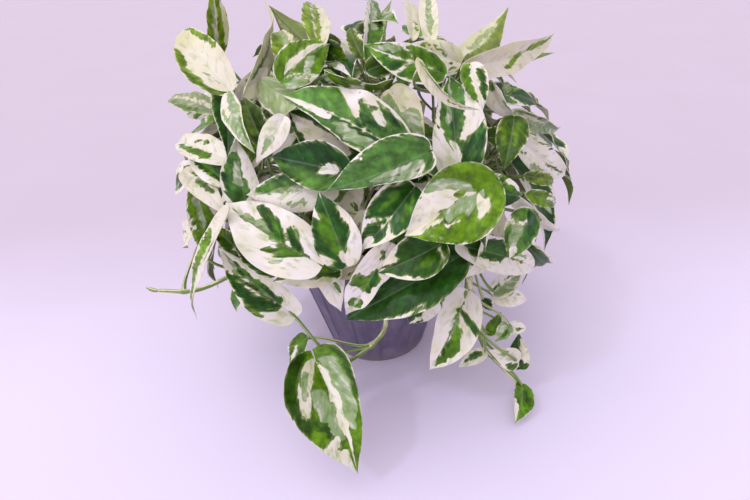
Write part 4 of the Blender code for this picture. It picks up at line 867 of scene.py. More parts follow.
class Canopy:
    """Places every leaf: each slides along its own line until it clears what already stands there."""

    def __init__(self) -> None:
        """Lays out the stems."""
        self.stems = {key: stem_path(points, STEM_STEPS) for key, points in VINES.items()}
        self.shapes = [Obstacle.pot()]
        for key, path in self.stems.items():
            self.shapes.append(Obstacle.tube(key, "stem", path[2:], stem_radii(path)[2:]))
        self.used = {key: [] for key in self.stems}

    def nearest_vine(self, position: np.ndarray) -> str:
        """The vine whose end passes nearest to a point, the two front trailers left out."""
        best = None
        for key, path in self.stems.items():
            if key in FRONT_TRAILERS:
                continue
            gap = np.linalg.norm(path[-5:] - position, axis=1).min()
            if best is None or gap < best[0]:
                best = (gap, key)
        return best[1]

    def rule_blades(self, rule: Spread) -> list:
        """The leaves that a rule spreads. The outer ones leave out what the placed leaves fill."""
        random = np.random.default_rng(rule.seed)
        blades = []
        for layer, count, share, lowest in rule.domes:
            for index, direction in enumerate(golden_directions(count)):
                draws = random.uniform(-1.0, 1.0, 5)
                on_surface = DOME_CENTRE + DOME_AXES * direction
                if direction[2] < lowest or (layer == "outer" and VIEW.shows_in_front(on_surface)):
                    continue
                outward = unit(direction / DOME_AXES)
                down = unit(-UP + outward * outward[2] + 1e-6)
                sideways = np.cross(outward, down)
                length = rule.length[0] + rule.length[1] * draws[0]
                out, fall, swing = rule.heading
                heading = unit(out * outward + fall * down + swing * draws[1] * sideways)
                base = DOME_CENTRE + DOME_AXES * direction * (share + 0.04 * draws[2])
                base = base - rule.back * length * down
                face = unit(outward + rule.face[0] * UP + rule.face[1] * draws[3] * sideways)
                width = length * (RULE_WIDTH[0] + RULE_WIDTH[1] * draws[4])
                blades.append(
                    Blade(
                        f"{layer}_{index}", self.nearest_vine(base), base, base + heading * length, face,
                        width, 0.1, RULE_FOLD, RULE_TWIST * draws[1], 0.08, outward, outward, False,
                    )
                )
        return blades

    def choose_start(self, stem: np.ndarray, blade: Blade, used: list) -> int:
        """The stem point that a leaf grows from: about one petiole away, below it, apart from the others."""
        best = None
        for index in range(len(stem) // 5, len(stem)):
            span = blade.base - stem[index]
            length = np.linalg.norm(span)
            tangent = unit(stem[min(index + 1, len(stem) - 1)] - stem[index - 1])
            cost = abs(length - PETIOLE_REACH) + BEND_COST * (1.0 - tangent @ unit(span))
            cost += sum(CROWDING_COST for other in used if abs(other - index) < 2)
            if best is None or cost < best[0]:
                best = (cost, index)
        return best[1]

    def clear_petiole(self, stem: np.ndarray, start: int, blade: Blade, strict: bool) -> Petiole:
        """A petiole that crosses nothing it may not, straight or bulged to one side, or none."""
        span = unit(blade.base - stem[start])
        first = unit(np.cross(span, (0.2, 0.1, 1.0)))
        second = np.cross(span, first)
        bulges = [0.0 * first]
        bulges += [size * BULGE * side for size in (1.0, 2.0) for side in (first, -first, second, -second)]
        for bulge in bulges:
            petiole = Petiole.reaching(stem, start, blade, bulge)
            path = petiole.path()
            grown = Obstacle.tube(blade.vine, "petiole", path, np.full(len(path), PETIOLE_RADIUS + CLEARANCE))
            others = (
                other for other in self.shapes if other.vine != blade.vine or strict and other.kind == "blade"
            )
            if not any(grown.meets(other) for other in others):
                return petiole
        return None

    def find_place(self, blade: Blade) -> tuple:
        """The blade slid to the nearest clear place, its petiole and where that starts, or none.

        A place clear of everything is looked for first, then one that crosses only its own vine. A filler
        leaf slides inward only."""
        stem = self.stems[blade.vine]
        ways = (-1.0,) if blade.name.startswith("filler") else (-1.0, 1.0)
        slides = [0.0]
        slides += [sign * SLIDE_STEP * step for step in range(1, SLIDE_STEPS + 1) for sign in ways]
        for strict in (True, False):
            barred = [other for other in self.shapes if strict or other.vine != blade.vine]
            for distance in slides:
                candidate = blade.slid(distance)
                padded = Obstacle.padded(candidate)
                if padded.low[2] < TABLE_CLEARANCE or any(padded.meets(other) for other in barred):
                    continue
                start = self.choose_start(stem, candidate, self.used[blade.vine])
                petiole = self.clear_petiole(stem, start, candidate, strict)
                if petiole is not None:
                    return candidate, petiole, start
        return None

    def place(self, blades: list) -> list:
        """Each blade with its petiole, slid clear of what stands there. One that finds no room is left out.

        Args:
            blades: the blades in the order in which they take their places.

        Returns:
            Pairs of a blade and its petiole."""
        placed = []
        for blade in blades:
            found = self.find_place(blade)
            if not found:
                continue
            candidate, petiole, start = found
            path = petiole.path()
            self.used[blade.vine].append(start)
            self.shapes.append(Obstacle.sheet(candidate))
            radii = np.full(len(path), PETIOLE_RADIUS)
            self.shapes.append(Obstacle.tube(blade.vine, "petiole", path, radii))
            placed.append((candidate, petiole))
        return placed


class Piece:
    """Gathers surfaces into the one mesh of a piece, with what its finish reads at each point."""

    ATTRIBUTES = ("marks", "veins", "tissue")

    def __init__(self, name: str) -> None:
        """Starts an empty piece."""
        self.name = name
        self.points = []
        self.faces = []
        self.slots = []
        self.values = {key: [] for key in self.ATTRIBUTES}
        self.count = 0

    def add(self, points: np.ndarray, faces: list, slot: int = 0, **values: np.ndarray) -> None:
        """Adds one closed surface.

        Args:
            points: its points, in metres.
            faces: whole-number arrays, each with one row of corners a face.
            slot: which of the piece's materials it has.
            values: for each attribute, three numbers a point."""
        for corners in faces:
            self.faces.append(corners + self.count)
            self.slots.append(np.full(len(corners), slot))
        self.points.append(points)
        self.count += len(points)
        for key in self.ATTRIBUTES:
            given = values.get(key, np.zeros(3))
            self.values[key].append(np.broadcast_to(given, (len(points), 3)))

    def finished(self, materials: list, sharp: float = 55.0) -> bpy.types.Object:
        """The piece as a smooth-shaded object at the origin, riding on the pot's body.

        Args:
            materials: its finishes, by slot.
            sharp: the angle in degrees past which an edge stays sharp.

        Returns:
            The object."""
        mesh = bpy.data.meshes.new(self.name)
        mesh.vertices.add(self.count)
        mesh.vertices.foreach_set("co", np.concatenate(self.points).astype(np.float32).ravel())
        corners = np.concatenate([part.ravel() for part in self.faces]).astype(np.int32)
        sizes = np.concatenate([np.full(len(part), part.shape[1]) for part in self.faces])
        mesh.loops.add(len(corners))
        mesh.loops.foreach_set("vertex_index", corners)
        mesh.polygons.add(len(sizes))
        mesh.polygons.foreach_set("loop_start", np.concatenate(([0], np.cumsum(sizes)[:-1])).astype(np.int32))
        mesh.polygons.foreach_set("material_index", np.concatenate(self.slots).astype(np.int32))
        mesh.update(calc_edges=True)
        for key, parts in self.values.items():
            held = mesh.attributes.new(key, "FLOAT_VECTOR", "POINT")
            held.data.foreach_set("vector", np.concatenate(parts).astype(np.float32).ravel())
        for material in materials:
            mesh.materials.append(material)
        mesh.shade_smooth()
        mesh.set_sharp_from_angle(angle=math.radians(sharp))
        item = shown(self.name, mesh)
        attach(item, BODY)
        LOG.info("%s: %d points, %d faces", self.name, self.count, len(sizes))
        return item


def sheet_quads(rows: int, columns: int) -> np.ndarray:
    """The faces of a grid of points, row by row, seen from its front."""
    row, column = np.meshgrid(np.arange(rows - 1), np.arange(columns - 1), indexing="ij")
    first = (row * columns + column).ravel()
    return np.stack((first, first + columns, first + columns + 1, first + 1), axis=1)


def ring_quads(rows: int, sides: int) -> np.ndarray:
    """The faces of a tube of rings that runs along, closed round, facing outward."""
    row, side = np.meshgrid(np.arange(rows - 1), np.arange(sides), indexing="ij")
    first = (row * sides + side).ravel()
    beside = (row * sides + (side + 1) % sides).ravel()
    return np.stack((first, beside, beside + sides, first + sides), axis=1)


def tube_faces(rows: int, sides: int) -> list:
    """A tube of rings with both its ends closed by one face each."""
    start = np.arange(sides)[::-1][None]
    end = (np.arange(sides) + (rows - 1) * sides)[None]
    return [ring_quads(rows, sides), start, end]


@dataclass
class FineBlade:
    """The leaf as it grew: a thin closed sheet with a sunk midrib, quilting between its veins and a waved,
    thinner margin, painted with its marking."""

    blade: Blade
    marking: Marking
    seed: float
    cell: float = FRONT_CELL

    def grid(self) -> tuple:
        """Along and across at each point: rows closer at both ends, columns closer at the midrib."""
        length = np.linalg.norm(self.blade.tip - self.blade.base) / MM
        rows = max(12, int(length / self.cell))
        columns = max(4, int(0.5 * self.blade.width / MM / self.cell))
        steps = np.linspace(0.0, 1.0, rows + 1)
        along = np.clip(0.5 - 0.5 * np.cos(math.pi * steps), 0.0012, 0.9985)
        share = np.linspace(-1.0, 1.0, 2 * columns + 1)
        across = np.sign(share) * np.abs(share) ** 1.2
        return np.meshgrid(along, across, indexing="ij")

    def middle(self, along: np.ndarray, across: np.ndarray) -> tuple:
        """The middle surface.

        The solid's formula with a drawn-out tip, a rounded fold, lobes that run back beside the stalk, a
        groove down the midrib, low pillows between the side veins, two waves along the margin, a
        cupped or reflexed middle, a tip that droops and base lobes that overlap a little.

        Returns:
            The points, the distance from the midrib in millimetres and the vein number."""
        blade = self.blade
        length = np.linalg.norm(blade.tip - blade.base)
        half = blade.half_width(along, across) * (1.0 - 0.2 * smooth(0.8, 1.0, along))
        half = half * (1.0 + 0.05 * wander(3.0 * along + 7.0 * np.sign(across), self.seed))
        side = np.sign(across)
        near_base = np.abs(across) * np.exp(-((along / 0.06) ** 2))
        out = half * across - LOBE_OVERLAP * MM * blade.lobe * side * near_base
        lobes = 0.055 * np.abs(across) ** 1.7 * (along / 0.07) * np.exp(1.0 - along / 0.07)
        back = length * (blade.lobe * np.abs(across) ** 1.6 * (1.0 - along) ** 4 + lobes)
        reach = along * length - back
        from_midrib = half * across / MM
        vein = reach / MM - 0.85 * np.abs(from_midrib) - 0.016 * from_midrib**2
        spacing = self.vein_spacing()
        stagger = np.where(across < 0.0, 0.5, 0.0)
        pillow = 0.5 - 0.5 * np.cos(2.0 * math.pi * (vein / spacing + stagger))
        inside = smooth(0.8, 4.0, np.abs(from_midrib)) * (1.0 - across**4)
        groove = np.exp(-((from_midrib / 1.0) ** 2)) * (1.0 - along) ** 0.3
        fold = np.sqrt(from_midrib**2 + CREASE**2) - CREASE
        rise = math.tan(blade.fold) * fold * MM + blade.wave(along, across)
        swell = SWELL_BY_VEIN * wander(vein / 5.0, self.seed)
        swell = swell + SWELL_ACROSS * wander(from_midrib / 4.5, self.seed + 2.0)
        rise = rise + MM * ((QUILTING * pillow + swell) * inside - MIDRIB_GROOVE * groove)
        rise = rise + LOBE_LIFT * MM * blade.lobe * side * near_base
        edge = np.abs(across) ** 3 * np.sin(math.pi * along)
        ruffle = np.sin(2.0 * math.pi * (2.2 * along + self.seed) + 1.4 * side)
        ruffle = ruffle + 0.5 * np.sin(2.0 * math.pi * (4.7 * along + 1.7 * self.seed) - side)
        cup = CUPPING * math.sin(23.0 * self.seed) * across**2 * np.sin(math.pi * along)
        rise = rise + blade.width * (RUFFLE * edge * ruffle + cup)
        rise = rise - DROOP * length * smooth(0.7, 1.0, along) ** 2
        sway = SWAY * length * math.sin(9.0 * self.seed) * np.sin(math.pi * along)
        points = blade.placed(reach, out + sway, rise, along)
        return points, from_midrib, vein

    def vein_spacing(self) -> float:
        """How far apart the side veins run, in millimetres."""
        return 4.2 + 0.09 * self.blade.width / MM

    def painted(self, across: np.ndarray, along: np.ndarray, vein: np.ndarray) -> np.ndarray:
        """The three signed distances that the leaf tissue reads: cream, sage and bright, in millimetres.

        A point is first shifted along its vein by a random wander from vein to vein, which makes ragged,
        feathery edges. Each stroke then raises its own pigment's field to its distance inside the stroke,
        and lowers the others to its distance outside. Last comes a thin pale rim of uneven width."""
        wide = 0.5 * self.blade.width / MM
        long = np.linalg.norm(self.blade.tip - self.blade.base) / MM
        half_seed = self.seed + np.where(across < 0.0, 3.7, 0.0)
        step = 0.14 * wide + 1.2
        shift = wander(vein / step, half_seed) + 0.22 * wander(vein / (0.45 * step), half_seed + 11.0)
        shift = shift * min(3.0, 0.12 * wide + 0.6)
        x = across * wide + 0.75 * shift * np.sign(across)
        y = along * long + 0.66 * shift
        fields = {pigment: np.full(across.shape, -FAR) for pigment in (CREAM, SAGE, BRIGHT)}
        if self.marking.ground in fields:
            fields[self.marking.ground][:] = FAR
        for pigment, s0, t0, s1, t1, r0, r1 in self.marking.strokes:
            start, end = np.array((s0 * wide, t0 * long)), np.array((s1 * wide, t1 * long))
            span = end - start + 1e-6
            share = np.clip(((x - start[0]) * span[0] + (y - start[1]) * span[1]) / (span @ span), 0.0, 1.0)
            gap = np.hypot(x - start[0] - share * span[0], y - start[1] - share * span[1])
            inside = ((1.0 - share) * r0 + share * r1) * wide - gap
            self.lay(fields, pigment, inside)
        rim = 0.15 + 0.5 * wander(vein / (1.7 * step), half_seed + 5.0)
        for sign, width in zip((-1.0, 1.0), self.marking.margin):
            depth = wide * (sign * across - 1.0 + width) + rim
            if width > 0.0:
                depth = depth + 0.35 * shift
            self.lay(fields, CREAM, np.where(sign * across > 0.0, depth, -FAR))
        return np.stack([fields[pigment] for pigment in (CREAM, SAGE, BRIGHT)], axis=-1)

    @staticmethod
    def lay(fields: dict, pigment: Pigment, inside: np.ndarray) -> None:
        """Lays one pigment over the others, by the signed distance inside its patch."""
        for other in fields:
            fields[other] = np.maximum(fields[other], inside) if other is pigment else np.minimum(
                fields[other], -inside
            )

    def add_to(self, piece: Piece) -> None:
        """Adds the closed sheet: its two faces half its thickness either side of the middle, and the rim."""
        along, across = self.grid()
        points, from_midrib, vein = self.middle(along, across)
        down_rows = np.gradient(points, axis=0)
        down_columns = np.gradient(points, axis=1)
        normal = np.cross(down_rows, down_columns)
        normal /= np.linalg.norm(normal, axis=2)[..., None] + 1e-12
        half = MM * (EDGE_THICKNESS + MIDDLE_THICKNESS * (1.0 - across**2))
        ridge = MM * MIDRIB_RIDGE * np.exp(-((from_midrib / 0.9) ** 2)) * (1.0 - along)
        top = points + half[..., None] * normal
        bottom = points - (half + ridge)[..., None] * normal
        rows, columns = along.shape
        count = rows * columns
        index = np.arange(count).reshape(rows, columns)
        faces = [sheet_quads(rows, columns), sheet_quads(rows, columns)[:, ::-1] + count]
        for edge, flip in ((index[:, 0], False), (index[:, -1], True), (index[0], True), (index[-1], False)):
            quad = np.stack((edge[:-1], edge[:-1] + count, edge[1:] + count, edge[1:]), axis=1)
            faces.append(quad[:, ::-1] if flip else quad)
        marks = self.painted(across, along, vein).reshape(-1, 3)
        veins = np.stack((vein / self.vein_spacing(), from_midrib, np.full_like(vein, self.seed)), axis=-1)
        tissue = np.zeros((2 * count, 3))
        tissue[count:, 0] = 1.0
        # Painted light: leaves high in the crown take a yellower tone, the glow of light shining through
        # them.
        height = np.tile(points[..., 2].ravel(), 2)
        tissue[:, 1] = self.marking.tone + 0.45 * smooth(200.0 * MM, 245.0 * MM, height)
        tissue[:, 2] = self.marking.age
        piece.add(
            np.concatenate((top.reshape(-1, 3), bottom.reshape(-1, 3))),
            faces,
            marks=np.tile(marks, (2, 1)),
            veins=np.tile(veins.reshape(-1, 3), (2, 1)),
            tissue=tissue,
        )


class Marbling:
    """Markings for the leaves that the picture doesn't show, drawn by a seeded rule from five habits."""

    SEED = 77

    def __init__(self) -> None:
        """Seeds the draws."""
        self.random = np.random.default_rng(self.SEED)

    def stroke(self, pigment: Pigment, side: float) -> tuple:
        """A tapered stroke that leaves the midrib along a side vein."""
        start = self.random.uniform(0.08, 0.6)
        reach = self.random.uniform(0.5, 1.0)
        wide = self.random.uniform(0.12, 0.34)
        return (pigment, 0.1 * side, start, side * reach, start + 0.22 * reach, 0.5 * wide, wide)

    def marking(self) -> Marking:
        """The next leaf's marking: margined, halved, marbled, creamy or nearly plain."""
        habit = self.random.choice(5, p=(0.27, 0.2, 0.23, 0.18, 0.12))
        tone = self.random.uniform(-0.6, 0.6)
        side = self.random.choice((-1.0, 1.0))
        green = self.random.choice((BRIGHT, DEEP))
        other = DEEP if green is BRIGHT else BRIGHT
        if habit == 0:
            margins = tuple(self.random.uniform(0.08, 0.34, 2))
            return Marking(green, (self.stroke(SAGE, side), self.stroke(CREAM, -side)), margins, tone)
        if habit == 1:
            half = (CREAM, 0.62 * side, 0.1, 0.55 * side, 0.95, 0.45, 0.3)
            strokes = (half, self.stroke(other, -side), self.stroke(SAGE, side), self.stroke(green, side))
            return Marking(green, strokes, (0.0, 0.08), tone)
        if habit == 2:
            kinds = (CREAM, other, SAGE, CREAM, other)
            sides = (side, -side, side, -side, side)
            strokes = tuple(self.stroke(kind, where) for kind, where in zip(kinds, sides))
            return Marking(green, strokes, (0.06, 0.12), tone)
        if habit == 3:
            kinds = (green, SAGE, other)
            strokes = tuple(self.stroke(kind, where) for kind, where in zip(kinds, (side, -side, -side)))
            return Marking(CREAM, strokes, (0.0, 0.0), tone)
        return Marking(green, (self.stroke(other, side), self.stroke(CREAM, -side)), (0.0, 0.0), tone)


class LeafyStem:
    """One stem with its petioles and leaves: the stalks as one piece and the blades as another."""

    def __init__(self, name: str, leaves: list) -> None:
        """Keeps the stem's name and its (blade, petiole, marking, seed) rows."""
        self.name = name
        self.leaves = leaves

    def stalks(self) -> Piece:
        """The stem with its swollen nodes, the petioles and the sheath at the foot of each."""
        piece = Piece("stalks_" + self.name)
        path = stem_path(VINES[self.name], STEM_STEPS * FINER_STEM)
        self.add_stem(piece, path)
        for blade, petiole, _, seed in self.leaves:
            self.add_petiole(piece, blade, petiole, seed)
        self.add_spear(piece, path)
        return piece

    def add_tube(self, piece: Piece, path: np.ndarray, radii: np.ndarray, seed: float, kind: float) -> None:
        """Adds a closed tube whose finish reads its length and angle in millimetres, and its kind."""
        sides = 10
        ring = rings(path, radii, sides)
        steps = np.linalg.norm(np.diff(path, axis=0), axis=1)
        run = np.concatenate(([0.0], np.cumsum(steps))) / MM
        angle = np.arange(sides) * 2.0 * math.pi / sides
        veins = np.stack(np.broadcast_arrays(run[:, None], angle[None], seed), axis=-1).reshape(-1, 3)
        tissue = np.array((kind, math.sin(40.0 * seed), 0.0))
        piece.add(ring.reshape(-1, 3), tube_faces(len(path), sides), veins=veins, tissue=tissue)

    def add_stem(self, piece: Piece, path: np.ndarray) -> None:
        """The stem: a taper, with a ring swollen at each node, which is an exponential of the distance."""
        steps = np.linalg.norm(np.diff(path, axis=0), axis=1)
        run = np.concatenate(([0.0], np.cumsum(steps)))
        radii = stem_radii(path)
        for _, petiole, _, _ in self.leaves:
            node = run[np.argmin(np.linalg.norm(path - petiole.handles[0], axis=1))]
            radii = radii + 0.45 * MM * np.exp(-(((run - node) / (2.2 * MM)) ** 2))
        radii[-1] = 0.4 * radii[-1]
        self.add_tube(piece, path, radii, 0.5, 0.0)

    def add_petiole(self, piece: Piece, blade: Blade, petiole: Petiole, seed: float) -> None:
        """A petiole: wide where it clasps the stem, slim along, and swollen just below the blade."""
        path = petiole.path(18)
        share = np.linspace(0.0, 1.0, len(path))
        clasp = 0.75 * np.exp(-((share / 0.13) ** 2))
        knee = 0.25 * np.exp(-(((share - 0.93) / 0.06) ** 2))
        slender = min(1.0, blade.width / (22.0 * MM)) * 0.25 + 0.75
        radii = PETIOLE_RADIUS * (slender + clasp + knee)
        radii[-1] = 0.3 * PETIOLE_RADIUS
        self.add_tube(piece, path, radii, seed, 1.0)

    def add_spear(self, piece: Piece, path: np.ndarray) -> None:
        """The rolled young leaf at the stem's end: a slim cone that follows on and bends up."""
        heading = unit(path[-1] - path[-3])
        share = np.linspace(0.0, 1.0, 14)
        spear = path[-1] + SPEAR_LENGTH * (share[:, None] * heading + 0.3 * share[:, None] ** 2 * UP)
        radii = 1.35 * MM * np.sin(math.pi * (0.12 + 0.87 * share)) ** 0.7
        self.add_tube(piece, spear, radii, 0.3, 2.0)

    def blades(self) -> Piece:
        """All the blades of the stem."""
        piece = Piece("leaves_" + self.name)
        for blade, _, marking, seed in self.leaves:
            FineBlade(blade, marking, seed, FRONT_CELL if blade.front else BACK_CELL).add_to(piece)
        return piece

    def build(self, leaf: bpy.types.Material, stalk: bpy.types.Material) -> None:
        """Makes both pieces, which stand for the stem's solid."""
        blades = self.blades().finished([leaf])
        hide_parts("vine_" + self.name)
        stalks = self.stalks().finished([stalk])
        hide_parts("vine_" + self.name)


@dataclass
class Pot:
    """The moulded nursery pot: a tapered shell with a rolled rim, shallow upright panels and foot notches."""

    rim_radius: float = RIM_RADIUS
    foot_radius: float = FOOT_RADIUS
    height: float = POT_HEIGHT
    wall: float = 1.5 * MM
    floor: float = 2.0 * MM
    panels: int = 16
    panel_step: float = 1.1 * MM
    notches: int = 4
    panel_sides: tuple = ((0.0, 0.05), (0.44, 0.49))
    notch_width: float = 6.0 * MM
    notch_height: float = 1.5 * MM
    sides: int = 512

    def outer_radius(self, height: np.ndarray) -> np.ndarray:
        """The radius of the body at a height: a straight taper."""
        return self.foot_radius + (self.rim_radius - RIM_STEP - self.foot_radius) * height / self.height

    def profile(self) -> np.ndarray:
        """Radius and height round the section: up the inside, over the rim, down the outside and under."""
        rim_low = self.height - RIM_DEPTH
        inside = [(r * (self.outer_radius(self.floor) - self.wall), self.floor) for r in (0.02, 0.5, 0.97)]
        walls = np.linspace(self.floor + 1.2 * MM, rim_low, 12)
        inside += [(self.outer_radius(z) - self.wall, z) for z in walls]
        lip = 0.75 * MM
        crown = [
            (self.rim_radius - lip + lip * math.cos(a), self.height - lip * (1.0 - math.sin(a)))
            for a in np.linspace(math.pi, 0.0, 9)
        ]
        skirt = [(self.rim_radius - 0.05 * MM * k, self.height - lip - k * 1.0 * MM) for k in range(1, 6)]
        tuck = [
            (self.rim_radius - 0.35 * MM, rim_low + 0.45 * MM),
            (self.rim_radius - 0.75 * MM, rim_low + 0.02 * MM),
            (self.outer_radius(rim_low) + 0.35 * MM, rim_low),
            (self.outer_radius(rim_low) + 0.05 * MM, rim_low - 0.3 * MM),
        ]
        body = [(self.outer_radius(z), z) for z in np.linspace(rim_low - 1.0 * MM, 1.0 * MM, 44)]
        foot = [(self.foot_radius, 0.45 * MM), (self.foot_radius - 0.35 * MM, 0.0)]
        under = [(r * self.foot_radius, 0.0) for r in (0.9, 0.5, 0.02)]
        return np.array(inside + crown + skirt + tuck + body + foot + under)

    def points(self) -> np.ndarray:
        """The section turned round the axis, with its outside pressed in at the panels.

        Each panel is a window with soft edges in the angle, whose sides are shares of the panels' pitch,
        times one in the height. The foot is raised at the notches by a window in the angle."""
        section = self.profile()
        angle = np.linspace(0.0, 2.0 * math.pi, self.sides, endpoint=False)
        radius, height = section[:, 0][:, None], section[:, 1][:, None]
        outside = radius > self.outer_radius(height) - 0.5 * self.wall
        phase = (angle * self.panels / (2.0 * math.pi)) % 1.0
        left, right = self.panel_sides
        across = smooth(*left, phase) * (1.0 - smooth(*right, phase))
        top = self.height - RIM_DEPTH - 4.0 * MM
        upright = smooth(3.5 * MM, 6.5 * MM, height) * (1.0 - smooth(top - 1.5 * MM, top + 1.5 * MM, height))
        pressed = radius - self.panel_step * across[None] * upright * outside
        turn = (angle * self.notches / (2.0 * math.pi)) % 1.0 - 0.5
        from_notch = np.abs(turn) * 2.0 * math.pi / self.notches * self.foot_radius
        notch = 1.0 - smooth(0.45 * self.notch_width, 0.55 * self.notch_width, from_notch)
        near_foot = (radius > 0.85 * self.foot_radius) & (height < self.notch_height)
        raised = np.where(near_foot, np.maximum(height, self.notch_height * notch[None]), height)
        return np.stack((pressed * np.cos(angle), pressed * np.sin(angle), raised + 0.0 * pressed), axis=-1)

    def build(self, plastic: bpy.types.Material) -> None:
        """The pot, closed at both its poles."""
        piece = Piece("moulded_pot")
        points = self.points()
        piece.add(points.reshape(-1, 3), tube_faces(len(points), self.sides))
        item = piece.finished([plastic], sharp=40.0)
        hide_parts("pot")


@dataclass
class PottingMix:
    """The plug of potting mix: an uneven crumbly top inside the rim, and loose crumbs and bark on it."""

    top: float = SOIL_TOP
    edge: float = 58.2 * MM
    foot: float = 35.4 * MM
    low: float = 2.4 * MM
    crumbs: int = 520
    seed: int = 5

    def relief(self, x: np.ndarray, y: np.ndarray) -> np.ndarray:
        """The height of the top: two long waves, as on the solid, and random wandering crossed two ways."""
        wave = np.sin(x / (9.0 * MM)) + np.cos(y / (7.0 * MM) + 1.0)
        lumps = wander(x / (3.1 * MM) + wander(y / (4.0 * MM), 3.0), 1.0) * wander(y / (2.7 * MM), 2.0)
        grit = wander((x + 0.6 * y) / (1.2 * MM), 4.0) * wander((y - 0.7 * x) / (1.1 * MM), 5.0)
        return self.top + 0.55 * MM * wave + 0.9 * MM * lumps + 0.45 * MM * grit

    def add_plug(self, piece: Piece) -> None:
        """The plug: rings out over the top, down the side and in under it."""
        sides = 200
        angle = np.linspace(0.0, 2.0 * math.pi, sides, endpoint=False)
        side = (self.edge - 0.8 * MM, self.foot, 0.3 * MM)
        radius = np.concatenate((np.linspace(0.3 * MM, self.edge, 64), side))
        x, y = radius[:, None] * np.cos(angle), radius[:, None] * np.sin(angle)
        height = self.relief(x, y)
        height[-3] = self.top - 3.0 * MM
        height[-2:] = self.low
        points = np.stack((x, y, height), axis=-1)[::-1]
        piece.add(points.reshape(-1, 3), tube_faces(len(points), sides))

    def add_crumbs(self, piece: Piece) -> None:
        """Loose crumbs: balls squashed and stretched at random, with lumpy radii, sunk a third."""
        random = np.random.default_rng(self.seed)
        rows, sides = 6, 8
        polar = np.linspace(0.06, 0.94, rows) * math.pi
        angle = np.arange(sides) * 2.0 * math.pi / sides
        ball = np.stack(
            np.broadcast_arrays(
                np.sin(polar)[:, None] * np.cos(angle), np.sin(polar)[:, None] * np.sin(angle),
                -np.cos(polar)[:, None] + 0.0 * angle,
            ),
            axis=-1,
        )
        for _ in range(self.crumbs):
            away, around = math.sqrt(random.uniform(0.0, 0.93)) * self.edge, random.uniform(0.0, 6.283)
            x, y = away * math.cos(around), away * math.sin(around)
            size = MM * random.uniform(0.5, 1.5) * (1.7 if random.uniform() > 0.9 else 1.0)
            lumps = 1.0 + 0.22 * random.uniform(-1.0, 1.0, (rows, sides, 1))
            turn = random.uniform(0.0, 6.283)
            shape = ball * lumps * size * np.array((1.0, random.uniform(0.45, 1.0), 0.6))
            spun = np.stack(
                (
                    math.cos(turn) * shape[..., 0] - math.sin(turn) * shape[..., 1],
                    math.sin(turn) * shape[..., 0] + math.cos(turn) * shape[..., 1],
                    shape[..., 2],
                ),
                axis=-1,
            )
            centre = np.array((x, y, float(self.relief(np.array(x), np.array(y))) + 0.25 * size))
            points = (centre + spun).reshape(-1, 3)
            piece.add(points, tube_faces(rows, sides), tissue=np.array((random.uniform(), 0.0, 0.0)))

    def build(self, mix: bpy.types.Material) -> None:
        """The plug with its crumbs."""
        piece = Piece("potting_mix")
        self.add_plug(piece)
        self.add_crumbs(piece)
        item = piece.finished([mix], sharp=70.0)
        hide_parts("soil")


@dataclass(frozen=True)
class Dewdrops:
    """Water drops that stand on the leaves: shallow round caps on the fine leaf surface."""

    leaves: tuple = (
        ("heart_water", 90, 1.4), ("centre_top", 30, 1.3), ("big_back_white", 22, 1.3),
        ("glossy_dark", 16, 1.1), ("dark_spotted", 12, 1.0), ("white_feather", 10, 1.0),
        ("front_hanging", 14, 1.0), ("upright_right", 12, 1.0), ("horizontal_left", 14, 1.1),
        ("green_margined", 12, 1.0), ("shade_dark", 8, 1.2), ("crown_striped", 10, 1.1),
    )
    seed: int = 9

    def add_cap(self, piece: Piece, centre: np.ndarray, up: np.ndarray, size: float) -> None:
        """One drop: a cap whose height falls off as a circle's, closed below just inside the leaf."""
        rows, sides = 6, 12
        share = np.linspace(0.04, 1.0, rows)
        angle = np.arange(sides) * 2.0 * math.pi / sides
        first = unit(np.cross(up, (0.31, 0.93, 0.22)))
        second = np.cross(up, first)
        height = 0.42 * size * np.sqrt(np.maximum(1.0 - share**2, 0.0))
        reach = size * share[:, None, None] * (
            np.cos(angle)[None, :, None] * first + np.sin(angle)[None, :, None] * second
        )
        points = centre + reach + height[:, None, None] * up
        points = np.concatenate((points, (points[-1] - 0.12 * MM * up)[None]))[::-1]
        piece.add(points.reshape(-1, 3), tube_faces(len(points), sides))

    def build(self, fine: dict, water: bpy.types.Material) -> None:
        """All the drops. They cast no shadow, because light passes through them.

        Args:
            fine: each FineBlade by its leaf's name.
            water: their finish."""
        random = np.random.default_rng(self.seed)
        piece = Piece("water_drops")
        for name, count, largest in self.leaves:
            if name not in fine:
                continue
            for _ in range(count):
                spot = np.array((random.uniform(0.08, 0.85), random.uniform(-0.8, 0.8)))
                step = 0.004
                along = np.array((spot[0], spot[0] + step, spot[0]))
                across = np.array((spot[1], spot[1], spot[1] + step))
                here, ahead, beside = fine[name].middle(along, across)[0]
                up = unit(np.cross(ahead - here, beside - here))
                size = MM * (0.35 + (largest - 0.35) * random.uniform() ** 2.2)
                self.add_cap(piece, here + 0.24 * MM * up, up, size)
        item = piece.finished([water], sharp=80.0)
        item.visible_shadow = False


# Kinds of node, and the option that eases a ramp
RAMP, MATHS, NOISE = "ShaderNodeMapRange", "ShaderNodeMath", "ShaderNodeTexNoise"
SPLIT, SCALED, COORDINATES = "ShaderNodeSeparateXYZ", "ShaderNodeVectorMath", "ShaderNodeTexCoord"
HELD, BUMP = "ShaderNodeAttribute", "ShaderNodeBump"
EASED = {"interpolation_type": "SMOOTHSTEP"}
TIMES = {"operation": "MULTIPLY"}
Tree, Socket = bpy.types.NodeTree, bpy.types.NodeSocket


def linear(colour: str) -> tuple:
    """An sRGB hex colour as linear red, green, blue and alpha."""
    values = [int(colour[start : start + 2], 16) / 255.0 for start in (1, 3, 5)]
    curve = [value / 12.92 if value <= 0.04045 else ((value + 0.055) / 1.055) ** 2.4 for value in values]
    return (*curve, 1.0)


